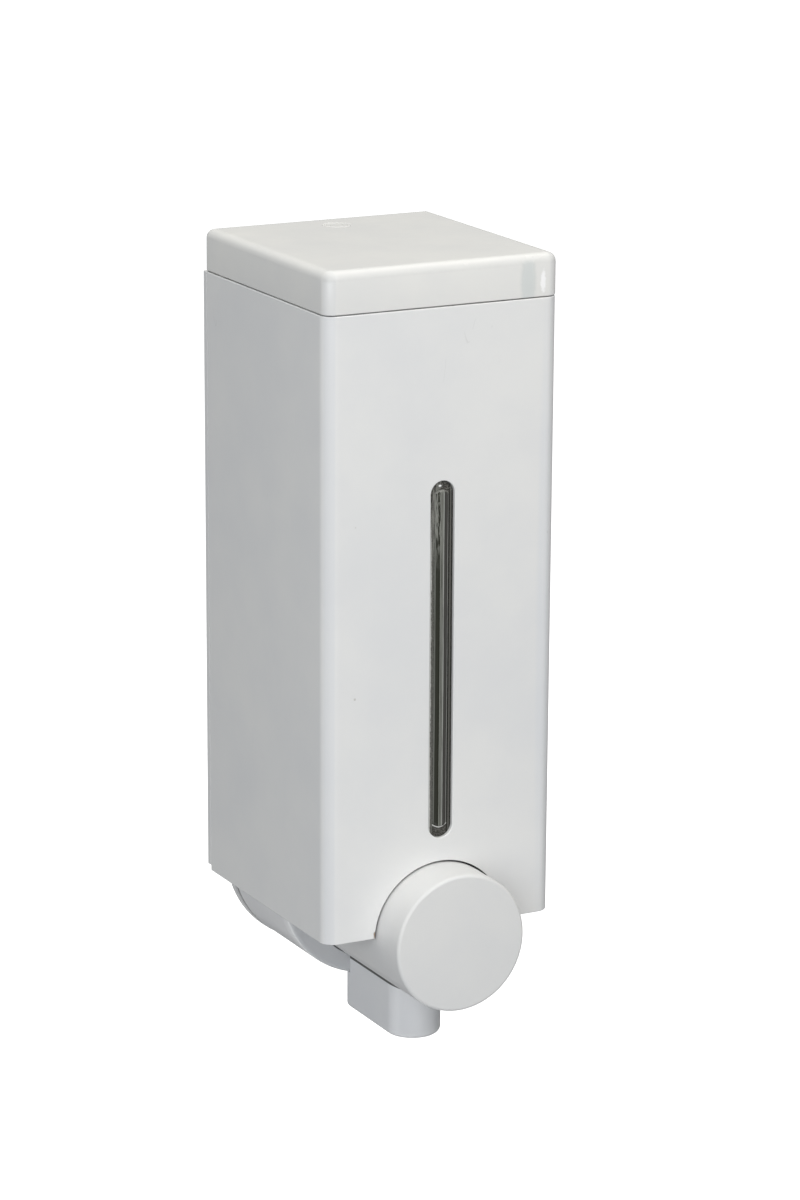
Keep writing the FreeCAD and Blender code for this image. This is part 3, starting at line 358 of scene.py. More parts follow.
@dataclass(frozen=True)
class MouldedPlastic:
    """White injection-moulded plastic: faint mottling, orange peel, stray specks and hairline scratches.

    Attributes:
        name: the material's name.
        colour: its clean colour, linear.
        roughness: its middle roughness.
        grain: depth of the fine surface texture, in metres.
        specks: share of cells with a dark speck.
        scratched: how far the hairline scratches show, from 0 to 1.
        corners: (half width, depth) of the vertical corners that hands rub and that get a painted cool tint,
            or None.
        crevices: openings darkened with painted shade.
        spots: single blemishes.
    """

    name: str
    colour: Colour = (0.80, 0.80, 0.795)
    roughness: float = 0.19
    grain: float = 0.000005
    specks: float = 0.05
    scratched: float = 0.0
    corners: Optional[tuple[float, float]] = None
    crevices: tuple[Crevice, ...] = ()
    spots: tuple[Spot, ...] = ()

    SPECK = (0.34, 0.32, 0.28)
    SCRATCH = (0.50, 0.50, 0.48)
    PAINTED_SHADE = (0.055, 0.054, 0.05)
    CORNER_ACROSS = mm(3.4, 2.6)
    CORNER_ALONG = mm(2.6, 1.8)

    def scratches(self, graph: Graph) -> Wire:
        """Thin broken lines: the zero crossings of a stretched noise, kept in a few patches."""
        lines = graph.noise(95.0, 1.0, 0.5, graph.stretched((1.0, 1.0, 0.22)))
        patch = graph.noise(22.0, 2.0).step(0.60, 0.68) * graph.noise(260.0, 2.0).step(0.5, 0.6)
        return abs(lines - 0.5).step(0.006, 0.0) * patch

    def rubbed_and_painted_tint(self, graph: Graph) -> Wire:
        """The vertical corners: a painted bluish-grey tint standing in for their cool reflection, and
        smoother where hands rub them.
        """
        half, depth = self.corners
        x, y, _ = graph.axes()
        across = abs(x).step(*(half - width for width in self.CORNER_ACROSS))
        along = abs(y).step(*(depth - width for width in self.CORNER_ALONG))
        return across * along * (0.65 + graph.noise(70.0, 3.0) * 0.6)

    def material(self) -> bpy.types.Material:
        """Build the material."""
        graph = Graph(self.name)
        broad = graph.noise(16.0, 3.0)
        cloud = graph.noise(60.0, 4.0, 0.6)
        fine = graph.noise(2600.0, 2.0)
        peel = graph.noise(420.0, 1.0)
        dots = graph.specks(150.0, 0.07, self.specks)
        marks = self.scratches(graph) * self.scratched
        red, green, blue = self.colour
        dim = (red * 0.965, green * 0.97, blue * 0.982)
        lit = (min(red * 1.03, 1.0), min(green * 1.028, 1.0), min(blue * 1.02, 1.0))
        tone = graph.mix((broad * 0.6 + cloud * 0.4).step(0.3, 0.7), dim, lit)
        tone = graph.mix(dots * 0.45, tone, self.SPECK)
        tone = graph.mix(marks * 0.4, tone, self.SCRATCH)
        rough = self.roughness + (cloud - 0.5) * 0.08 + dots * 0.2 + marks * 0.2
        if self.corners is not None:
            rubbed_and_painted_tint = self.rubbed_and_painted_tint(graph)
            # Painted cool tint on the corners, standing in for their reflection; the lower roughness is real
            # rubbing.
            tone = graph.mix(rubbed_and_painted_tint * 0.5, tone, (red * 0.88, green * 0.895, blue * 0.93))
            rough = rough - rubbed_and_painted_tint * 0.05
        for spot in self.spots:
            mask = spot.mask(graph)
            tone = graph.mix(mask, tone, spot.colour)
            rough = rough + mask * 0.15
        # Painted shade: each crevice's tone is pulled towards near black.
        for crevice in self.crevices:
            mask = crevice.mask(graph)
            tone = graph.mix(mask * 0.9, tone, self.PAINTED_SHADE)
            rough = rough + mask * 0.3
        normal = graph.bump(fine, self.grain, 0.7, graph.bump(peel, self.grain * 2.2, 0.5))
        constants = {"IOR": 1.52, "Specular IOR Level": 0.3}
        return graph.finish(constants, Base_Color=tone, Roughness=rough, Normal=normal)


@dataclass(frozen=True)
class SmokedAcrylic:
    """A clear bar over a dark inside: upright streaks where the bar gathers light, dark between.

    Attributes:
        name: the material's name.
        half: half the bar's width.
        low: level of the bar's lower end.
        high: level of the bar's upper end.
        level: where the bar begins to stand out of its pane, from the wall plane.
    """

    name: str
    half: float
    low: float
    high: float
    level: float

    # Painted light: bright upright bands where the clear bar gathers light, dark bands between.
    PAINTED_STREAKS = (
        (0.000, (0.150, 0.153, 0.138)),
        (0.070, (0.160, 0.163, 0.147)),
        (0.090, (0.030, 0.031, 0.024)),
        (0.220, (0.034, 0.035, 0.027)),
        (0.355, (0.018, 0.019, 0.014)),
        (0.380, (0.300, 0.305, 0.275)),
        (0.430, (0.090, 0.093, 0.080)),
        (0.490, (0.240, 0.245, 0.220)),
        (0.540, (0.110, 0.112, 0.098)),
        (0.590, (0.400, 0.405, 0.380)),
        (0.640, (0.180, 0.182, 0.168)),
        (0.665, (0.040, 0.039, 0.036)),
        (0.760, (0.075, 0.073, 0.068)),
        (0.850, (0.030, 0.029, 0.026)),
        (0.885, (0.330, 0.332, 0.318)),
        (0.915, (0.240, 0.242, 0.228)),
        (0.935, (0.012, 0.012, 0.010)),
    )

    OLIVE = (0.040, 0.041, 0.032)
    HAZE = (0.265, 0.266, 0.242)
    DOME = (0.20, 0.20, 0.175)
    PANE_DARK, PANE_FLECK = (0.040, 0.038, 0.034), (0.165, 0.162, 0.148)
    PANE_LEFT, PANE_RIGHT = (0.170, 0.170, 0.155), (0.170, 0.168, 0.155)
    PANE_SHADE = (0.018, 0.018, 0.015)
    CRUMB = (0.62, 0.62, 0.60)
    LOWER_ARC, UPPER_ARC, GLINT = (0.72, 0.72, 0.70), (0.30, 0.30, 0.28), (0.92, 0.92, 0.90)

    def chips(self, graph: Graph, x: Wire, z: Wire) -> Wire:
        """Pale crumbs along the left edge of the pane."""
        ragged = graph.noise(900.0, 3.0, 0.6) * 0.9 + graph.noise(150.0, 2.0) * 0.5
        edge = (x + ragged * 0.5 * MM).step(*mm(-2.52, -2.66))
        return edge * z.step(self.high - 6.0 * MM, self.high - 20.0 * MM)

    def ends(self, graph: Graph, tone: Wire, x: Wire, z: Wire) -> Wire:
        """Painted highlights: the bright arc that closes the bar's lower end, a fainter arc at its upper end,
        and the glint above its upper end.
        """
        lower = z - (self.low + 0.3 * MM) - x * x * 170.0
        within = abs(x).step(*mm(2.35, 2.0))
        tone = graph.mix(abs(lower).step(*mm(0.26, 0.1)) * within, tone, self.LOWER_ARC)
        upper = z - (self.high - 0.2 * MM) + x * x * 190.0
        tone = graph.mix(abs(upper).step(*mm(0.3, 0.1)) * within * 0.55, tone, self.UPPER_ARC)
        place = (-0.45 * MM, self.level, self.high + 1.1 * MM)
        glint = Spot(place, mm(0.55, 4.0, 0.36), self.GLINT, 1.0, 0.3)
        return graph.mix(glint.mask(graph), tone, self.GLINT)

    def pane(self, graph: Graph, x: Wire) -> Wire:
        """The dark flecked pane beside the bar, with its paler left edge and its shaded right side."""
        flecks = graph.noise(2400.0, 3.0, 0.7).step(0.42, 0.68)
        dark = graph.mix(flecks, self.PANE_DARK, self.PANE_FLECK)
        dark = graph.mix(x.band(-2.55 * MM, 0.4 * MM, 0.2 * MM) * 0.6, dark, self.PANE_LEFT)
        dark = graph.mix(x.step(*mm(1.9, 2.2)) * 0.75, dark, self.PANE_SHADE)
        return graph.mix(x.band(2.85 * MM, 0.28 * MM, 0.1 * MM) * 0.7, dark, self.PANE_RIGHT)

    def clouds(self, graph: Graph, tone: Wire, x: Wire, z: Wire) -> Wire:
        """The haze in the bar's upper left part, and the speckled dome at its upper end."""
        haze = graph.noise(2400.0, 3.0, 0.7, graph.stretched((1.0, 1.0, 0.09))).step(0.47, 0.56)
        haze = haze * z.step(self.high - 26.0 * MM, self.high - 9.0 * MM) * x.step(*mm(0.3, -0.6))
        tone = graph.mix(haze * 0.85, tone, self.HAZE)
        dome = graph.noise(1500.0, 3.0, 0.65, graph.stretched((1.0, 1.0, 1.6))).step(0.5, 0.64)
        dome = dome * z.step(self.high - 1.4 * MM, self.high - 0.2 * MM)
        return graph.mix(dome * 0.75, tone, self.DOME)

    def material(self) -> bpy.types.Material:
        """Build the material."""
        graph = Graph(self.name)
        x, y, z = graph.axes()
        drift = (graph.noise(24.0, 2.0) - 0.5) * 0.05
        across = (x / (2.0 * self.half)) + 0.5 + drift
        bands = graph.node("ShaderNodeValToRGB", {"stops": list(self.PAINTED_STREAKS)}, {0: across})
        drawn = graph.noise(2600.0, 4.0, 0.65, graph.stretched((1.0, 1.0, 0.03)))
        tone = graph.mix(drawn.step(0.46, 0.66) * 0.45, bands, self.OLIVE)
        pane = y.step(self.level - 0.25 * MM, self.level - 0.12 * MM)
        tone = graph.mix(pane, tone, self.pane(graph, x))
        tone = self.ends(graph, self.clouds(graph, tone, x, z), x, z)
        tone = graph.mix(self.chips(graph, x, z) * pane * 0.9, tone, self.CRUMB)
        rough = 0.16 + drawn * 0.12 + pane * 0.12
        ripple = graph.bump(drawn, 0.00003, 0.5)
        constants = {"IOR": 1.35, "Specular IOR Level": 0.18, "Coat Roughness": 0.06}
        coat = 0.22 - pane * 0.2
        return graph.finish(constants, Base_Color=tone, Roughness=rough, Normal=ripple, Coat_Weight=coat)


@dataclass(frozen=True)
class NaturalPolymer:
    """Milky unpigmented plastic with soft clouding and faint moulding flow lines."""

    name: str
    colour: Colour = (0.66, 0.69, 0.66)
    roughness: float = 0.42

    def material(self) -> bpy.types.Material:
        """Build the material."""
        graph = Graph(self.name)
        cloud = graph.noise(45.0, 4.0, 0.6)
        flow = graph.noise(220.0, 3.0, 0.5, graph.stretched((1.0, 1.0, 0.15)))
        shade = tuple(value * 0.88 for value in self.colour)
        tone = graph.mix((cloud * 0.7 + flow * 0.3).step(0.3, 0.7), shade, self.colour)
        normal = graph.bump(flow, 0.00001, 0.5)
        rough = self.roughness + (flow - 0.5) * 0.12
        constants = {"IOR": 1.5, "Subsurface Weight": 0.15}
        return graph.finish(constants, Base_Color=tone, Roughness=rough, Normal=normal)


class Metal(Enum):
    """The metals in the dispenser: (colour, roughness, metallic)."""

    ZINC = ((0.60, 0.60, 0.58), 0.40, 0.6)
    SCREW = ((0.58, 0.57, 0.55), 0.28, 1.0)
    SPRING = ((0.50, 0.50, 0.51), 0.24, 1.0)
    POLISHED = ((0.72, 0.72, 0.73), 0.09, 1.0)


@dataclass(frozen=True)
class MetalFinish:
    """Machined or plated metal with fine turning marks, dulling and small scratches."""

    name: str
    metal: Metal

    def material(self) -> bpy.types.Material:
        """Build the material."""
        colour, roughness, metallic = self.metal.value
        graph = Graph(self.name)
        marks = graph.noise(2200.0, 3.0, 0.6, graph.stretched((1.0, 0.12, 1.0)))
        dull = graph.noise(320.0, 4.0, 0.6)
        shade = tuple(value * 0.72 for value in colour)
        tone = graph.mix(dull.step(0.35, 0.75), colour, shade)
        rough = roughness + (marks - 0.5) * 0.16 + dull.step(0.5, 0.8) * 0.12
        normal = graph.bump(marks, 0.000008, 0.6)
        return graph.finish({"Metallic": metallic}, Base_Color=tone, Roughness=rough, Normal=normal)


@dataclass(frozen=True)
class Elastomer:
    """Rubber or silicone: matt, a little dusty, with a fine moulded skin."""

    name: str
    colour: Colour
    roughness: float = 0.62

    def material(self) -> bpy.types.Material:
        """Build the material."""
        graph = Graph(self.name)
        dust = graph.noise(500.0, 4.0, 0.65)
        skin = graph.noise(3200.0, 2.0)
        pale = tuple(min(value + 0.06, 1.0) for value in self.colour)
        tone = graph.mix(dust.step(0.45, 0.8), self.colour, pale)
        rough = self.roughness + (dust - 0.5) * 0.2
        normal = graph.bump(skin, 0.000012, 0.6)
        return graph.finish({"IOR": 1.45}, Base_Color=tone, Roughness=rough, Normal=normal)


# ---------------------------------------------------------------- surfaces


def add_object(name: str, data: bpy.types.ID) -> bpy.types.Object:
    """Make an object that shows the data, and link it into the scene."""
    made = bpy.data.objects.new(name, data)
    bpy.context.scene.collection.objects.link(made)
    return made


@dataclass
class Skin:
    """Points and faces that several surfaces add to, then one mesh.

    Attributes:
        points: arrays of points, each (n, 3).
        faces: lists of corner numbers.
        count: how many points are in so far.
    """

    points: list[np.ndarray] = field(default_factory=list)
    faces: list[list[int]] = field(default_factory=list)
    count: int = 0

    def loft(self, rings: np.ndarray, closed: bool = False) -> "Skin":
        """Join rings of points with quads: point j of ring i meets point j + 1 of ring i + 1.

        Args:
            rings: an array (ring, point, 3).
            closed: join the last ring to the first; otherwise one face closes each of the two.

        Returns:
            This skin.
        """
        many, around, _ = rings.shape
        number = np.arange(many * around).reshape(many, around) + self.count
        first = number if closed else number[:-1]
        second = np.roll(number, -1, axis=0) if closed else number[1:]
        corners = (first, np.roll(first, -1, axis=1), np.roll(second, -1, axis=1), second)
        quads = np.stack(corners, axis=-1).reshape(-1, 4)
        caps = [] if closed else [number[0][::-1].tolist(), number[-1].tolist()]
        self.points.append(rings.reshape(-1, 3))
        self.faces.extend(quads.tolist() + caps)
        self.count += many * around
        return self

    def build(self, name: str, sharp: float = 30.0) -> bpy.types.Object:
        """Make the object, its faces turned outwards and smooth up to an angle.

        Args:
            name: the object's name.
            sharp: edges over this many degrees stay crisp.

        Returns:
            The object, at the origin.
        """
        mesh = bpy.data.meshes.new(name)
        mesh.from_pydata(np.concatenate(self.points).tolist(), [], self.faces)
        mesh.validate()
        piece = add_object(name, mesh)
        face_outwards(mesh)
        shade(mesh, sharp)
        return piece


def face_outwards(mesh: bpy.types.Mesh) -> None:
    """Merge doubled points and turn every closed shell's faces outwards."""
    work = bmesh.new()
    work.from_mesh(mesh)
    bmesh.ops.remove_doubles(work, verts=work.verts, dist=1e-7)
    bmesh.ops.recalc_face_normals(work, faces=work.faces)
    work.to_mesh(mesh)
    work.free()


def shade(mesh: bpy.types.Mesh, sharp: float) -> None:
    """Smooth the mesh, keeping edges over an angle in degrees crisp."""
    mesh.polygons.foreach_set("use_smooth", np.ones(len(mesh.polygons), bool))
    mesh.set_sharp_from_angle(angle=math.radians(sharp))
    mesh.update()


def soften(piece: bpy.types.Object, width: float, segments: int = 3, angle: float = 35.0) -> None:
    """Round the crisp edges of a piece with a live bevel.

    Args:
        piece: the object.
        width: the bevel's width in metres.
        segments: its number of steps.
        angle: edges over this many degrees are rounded.
    """
    bevel = piece.modifiers.new("edge_round", "BEVEL")
    bevel.width = width
    bevel.segments = segments
    bevel.limit_method = "ANGLE"
    bevel.angle_limit = math.radians(angle)
    bevel.harden_normals = True
    bevel.miter_outer = "MITER_ARC"


def arc(start: float, end: float, steps: int) -> np.ndarray:
    """Evenly spaced angles in radians from start to end degrees."""
    return np.radians(np.linspace(start, end, steps))


def circle(centre: tuple[float, float], radius: float, angle: np.ndarray) -> np.ndarray:
    """Points at angles in radians round a circle, an array (point, 2)."""
    return np.array(centre) + radius * np.stack((np.cos(angle), np.sin(angle)), axis=-1)


def whole_turn(steps: int) -> np.ndarray:
    """Evenly spaced angles in radians over one turn, the end left out."""
    return np.linspace(0.0, TURN, steps, endpoint=False)


def at_level(plan: np.ndarray, level: Union[float, np.ndarray]) -> np.ndarray:
    """An outline in plan lifted to a level, one for all or one for each point."""
    return np.column_stack((plan, np.full(len(plan), level)))


def at_depth(front: np.ndarray, depth: float) -> np.ndarray:
    """An outline seen from the front, put at a depth."""
    return np.stack((front[:, 0], np.full(len(front), depth), front[:, 1]), axis=-1)


def rounded_outline(
    half: float, low: float, high: float, radius: float, far_radius: float, steps: int = 10
) -> np.ndarray:
    """A rectangle with round corners, anticlockwise from the right front corner.

    Each corner is a quarter circle about a centre one radius in from both sides.

    Args:
        half: half the width along the first axis.
        low: lower side along the second axis.
        high: upper side along the second axis.
        radius: radius of the two corners on the lower side.
        far_radius: radius of the two corners on the upper side.
        steps: points in each corner.

    Returns:
        An array (point, 2).
    """
    turn = arc(-90.0, 0.0, steps)
    corners = []
    signs = ((1, -1), (1, 1), (-1, 1), (-1, -1))
    for quarter, (across, along) in enumerate(signs):
        size = far_radius if along > 0 else radius
        x = across * (half - size)
        y = high - size if along > 0 else low + size
        corners.append(circle((x, y), size, turn + quarter * math.pi / 2))
    return np.concatenate(corners)


def with_sides(plan: np.ndarray, extra: int) -> np.ndarray:
    """Add points along the straight sides of an outline made of four equal corner runs.

    Args:
        plan: the outline, an array (point, 2).
        extra: points to add on each side.

    Returns:
        An array (point, 2).
    """
    corners = np.split(plan, 4)
    share = np.linspace(0.0, 1.0, extra + 2)[1:-1, None]
    runs = []
    for here, there in zip(corners, corners[1:] + corners[:1]):
        runs += [here, here[-1] + share * (there[0] - here[-1])]
    return np.concatenate(runs)


def stadium(half: float, low: float, high: float, steps: int = 24) -> np.ndarray:
    """An upright slot outline: two half circles joined by straight sides.

    Args:
        half: the end radius.
        low: lowest point.
        high: highest point.
        steps: points in each half circle.

    Returns:
        An array (point, 2).
    """
    lower = circle((0.0, low + half), half, arc(180.0, 360.0, steps))
    upper = circle((0.0, high - half), half, arc(0.0, 180.0, steps))
    return np.concatenate((lower, upper))


def carried(half: float, low: float, high: float, steps: list[tuple[float, float]]) -> np.ndarray:
    """Slot outlines seen from the front, one for each step.

    Args:
        half: the end radius.
        low: lowest point.
        high: highest point.
        steps: (inset, depth) of each outline.

    Returns:
        Rings for Skin.loft.
    """
    rings = [at_depth(stadium(half - inset, low + inset, high - inset, 28), depth) for inset, depth in steps]
    return np.stack(rings)


def lathe(profile: np.ndarray, centre: tuple[float, float], along: str, around: int = 128) -> np.ndarray:
    """Turn a profile about an axis: each point is (radius, level), carried round a circle.

    Args:
        profile: an array (point, 2) of radius and level.
        centre: where the axis stands in the other two axes.
        along: "y" for an axis front to back, "z" for an upright one.
        around: points round the circle.

    Returns:
        Rings for Skin.loft.
    """
    angle = whole_turn(around)
    radius = profile[:, 0][:, None]
    level = np.broadcast_to(profile[:, 1][:, None], (len(profile), around))
    first = centre[0] + radius * np.cos(angle)
    second = centre[1] + radius * np.sin(angle)
    order = (first, level, second) if along == "y" else (first, second, level)
    return np.stack(order, axis=-1)


def rounded_profile(corners: list[Triple], steps: int = 6) -> np.ndarray:
    """A path of straight runs whose corners are circular arcs.

    At each corner the arc touches both runs, radius times the tangent of half the turn from the corner.

    Args:
        corners: (first, second, radius) for each corner, in order; the two ends have radius 0.
        steps: points in each arc.

    Returns:
        An array (point, 2).
    """
    path = []
    for index, (first, second, radius) in enumerate(corners):
        here = np.array((first, second))
        if radius <= 0.0 or index in (0, len(corners) - 1):
            path.append(here[None])
            continue
        before = np.array(corners[index - 1][:2]) - here
        after = np.array(corners[index + 1][:2]) - here
        before /= np.linalg.norm(before)
        after /= np.linalg.norm(after)
        half = 0.5 * math.acos(float(np.clip(before @ after, -1.0, 1.0)))
        middle = before + after
        centre = here + middle / np.linalg.norm(middle) * radius / math.sin(half)
        start = here + before * radius / math.tan(half) - centre
        end = here + after * radius / math.tan(half) - centre
        sweep = math.atan2(start[0] * end[1] - start[1] * end[0], float(start @ end))
        angle = np.linspace(0.0, sweep, steps)[:, None]
        side = np.array((-start[1], start[0]))
        path.append(centre + start * np.cos(angle) + side * np.sin(angle))
    return np.concatenate(path)


def refined(node: str, sharp: float = 28.0) -> bpy.types.Object:
    """A merged copy of a CAD node whose curved faces shade smoothly.

    Args:
        node: the CAD node.
        sharp: edges over this many degrees stay crisp.

    Returns:
        The copy, which replaces the node.
    """
    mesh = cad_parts[node].data.copy()
    mesh.name = f"{node}_looks"
    mesh.materials.clear()
    work = bmesh.new()
    work.from_mesh(mesh)
    bmesh.ops.remove_doubles(work, verts=work.verts, dist=2e-6)
    flat = math.radians(0.3)
    bmesh.ops.dissolve_limit(work, angle_limit=flat, verts=work.verts, edges=work.edges)
    work.to_mesh(mesh)
    work.free()
    piece = add_object(f"{node}_looks", mesh)
    shade(mesh, sharp)
    return piece


def settle(piece: bpy.types.Object, body: str, slot: str, finish: bpy.types.Material, *nodes: str) -> None:
    """Give a piece its finish, its body and the nodes that it stands for.

    Args:
        piece: the object.
        body: the CAD body that it rides on.
        slot: the record's material slot; not used.
        finish: its material.
        nodes: the CAD nodes that it replaces.
    """
    piece.data.materials.clear()
    piece.data.materials.append(finish)
    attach(piece, body)
    if nodes:
        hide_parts(*nodes)
    LOG.info("%s rides on %s, %d faces", piece.name, body, len(piece.data.polygons))


# ---------------------------------------------------------------- sizes read from the frame


@dataclass
class Layout:
    """Places that the pieces share, all read from the CAD nodes' boxes."""

    casing_low: Vector = field(default_factory=lambda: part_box("casing")[0])
    casing_high: Vector = field(default_factory=lambda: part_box("casing")[1])
    lid_low: Vector = field(default_factory=lambda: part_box("lid")[0])
    lid_high: Vector = field(default_factory=lambda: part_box("lid")[1])
    button_low: Vector = field(default_factory=lambda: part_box("button")[0])
    button_high: Vector = field(default_factory=lambda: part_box("button")[1])
    window_low: Vector = field(default_factory=lambda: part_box("sight_window")[0])
    window_high: Vector = field(default_factory=lambda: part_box("sight_window")[1])
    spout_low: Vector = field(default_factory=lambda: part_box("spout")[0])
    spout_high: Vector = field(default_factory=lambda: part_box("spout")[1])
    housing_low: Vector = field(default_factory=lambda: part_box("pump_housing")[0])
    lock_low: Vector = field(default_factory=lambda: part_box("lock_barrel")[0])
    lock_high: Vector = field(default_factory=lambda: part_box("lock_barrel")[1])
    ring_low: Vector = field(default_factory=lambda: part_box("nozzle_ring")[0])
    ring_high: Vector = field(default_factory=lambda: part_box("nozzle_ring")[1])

    @property
    def foot(self) -> float:
        """The casing's lower edge."""
        return self.casing_low.z

    @property
    def rim(self) -> float:
        """The casing's upper edge."""
        return self.casing_high.z

    @property
    def face(self) -> float:
        """The casing's front face."""
        return self.casing_low.y

    @property
    def button_level(self) -> float:
        """The level of the button's axis."""
        return 0.5 * (self.button_low.z + self.button_high.z)

    @property
    def button_radius(self) -> float:
        """The button's radius."""
        return 0.5 * (self.button_high.z - self.button_low.z)

    @property
    def lock_centre(self) -> tuple[float, float]:
        """Where the lock stands on the lid."""
        middle = 0.5 * (self.lock_low + self.lock_high)
        return middle.x, middle.y

    @property
    def nozzle_centre(self) -> tuple[float, float]:
        """Where the nozzle's axis stands."""
        middle = 0.5 * (self.ring_low + self.ring_high)
        return middle.x, middle.y


# ---------------------------------------------------------------- sub-assemblies


def three_sides(start: float, back: float, front: float, corner: float) -> list[Triple]:
    """Corners of a run from the back round the front and back again, from one side to the other.

    Args:
        start: the first side; the other is its mirror image.
        back: where both ends lie.
        front: where the middle side lies.
        corner: radius of the two front corners.

    Returns:
        (x, y, radius) for each corner.
    """
    return [(start, back, 0.0), (start, front, corner), (-start, front, corner), (-start, back, 0.0)]


@dataclass
class Casing:
    """The three-sided shell with its slot and its arch.

    Attributes:
        layout: shared places.
        finish: its material.
        draft: how much narrower each side is at the foot.
        corner: radius of the vertical front corners.
        wall: wall thickness.
        slot_half: half the window slot's width.
        slot_margin: how far the window's flange reaches beyond the slot.
        arch_play: gap round the button's skirt.
        edge: rounding of every crisp edge.
    """

    layout: Layout
    finish: bpy.types.Material
    draft: float = 0.25 * MM
    corner: float = 4.2 * MM
    wall: float = 2.4 * MM
    slot_half: float = 3.7 * MM
    slot_margin: float = 3.6 * MM
    arch_play: float = 0.4 * MM
    edge: float = 0.35 * MM

    def outline(self) -> np.ndarray:
        """The shell in plan at the rim: out round the front corners and back inside the wall."""
        half, back = self.layout.casing_high.x, self.layout.casing_high.y
        face, wall = self.layout.face, self.wall
        inner = max(self.corner - wall, 0.6 * MM)
        return np.concatenate((
            rounded_profile(three_sides(-half, back, face, self.corner), 14),
            rounded_profile(three_sides(half - wall, back, face + wall, inner), 8),
        ))

    def shell(self) -> bpy.types.Object:
        """The plan outline carried up the casing, each side moved in by the draft at the foot."""
        rim = self.outline()
        foot = rim.copy()
        foot[:, 0] -= np.sign(rim[:, 0]) * self.draft
        rings = (at_level(foot, self.layout.foot), at_level(rim, self.layout.rim))
        return Skin().loft(np.stack(rings)).build("casing_shell")

    def cutter(self, name: str, outline: np.ndarray) -> bpy.types.Object:
        """An outline in the front plane carried through the front wall."""
        reach = 2.0 * self.wall
        ends = (self.layout.face - reach, self.layout.face + reach)
        return Skin().loft(np.stack([at_depth(outline, depth) for depth in ends])).build(name)

    def build(self) -> None:
        """Make the shell, cut its openings and round its edges."""
        piece = self.shell()
        low = self.layout.window_low.z + self.slot_margin
        high = self.layout.window_high.z - self.slot_margin
        slot = self.cutter("slot_cutter", stadium(self.slot_half, low, high, 32))
        radius = self.layout.button_radius + self.arch_play
        opening = circle((0.0, self.layout.button_level), radius, whole_turn(160))
        cut_away(piece, slot, self.cutter("arch_cutter", opening))
        shade(piece.data, 30.0)
        soften(piece, self.edge, 4)
        settle(piece, "dispenser", "casing_white", self.finish, "casing")


def cut_away(piece: bpy.types.Object, *cutters: bpy.types.Object) -> None:
    """Cut solids out of a piece for good, and remove the cutters.

    Args:
        piece: the object to cut.
        cutters: closed solids to take away.
    """
    for cutter in cutters:
        cut = piece.modifiers.new("cut", "BOOLEAN")
        cut.operation = "DIFFERENCE"
        cut.solver = "EXACT"
        cut.object = cutter
    bpy.context.view_layer.update()
    graph = bpy.context.evaluated_depsgraph_get()
    mesh = bpy.data.meshes.new_from_object(piece.evaluated_get(graph))
    piece.modifiers.clear()
    piece.data = mesh
    for cutter in cutters:
        bpy.data.objects.remove(cutter)


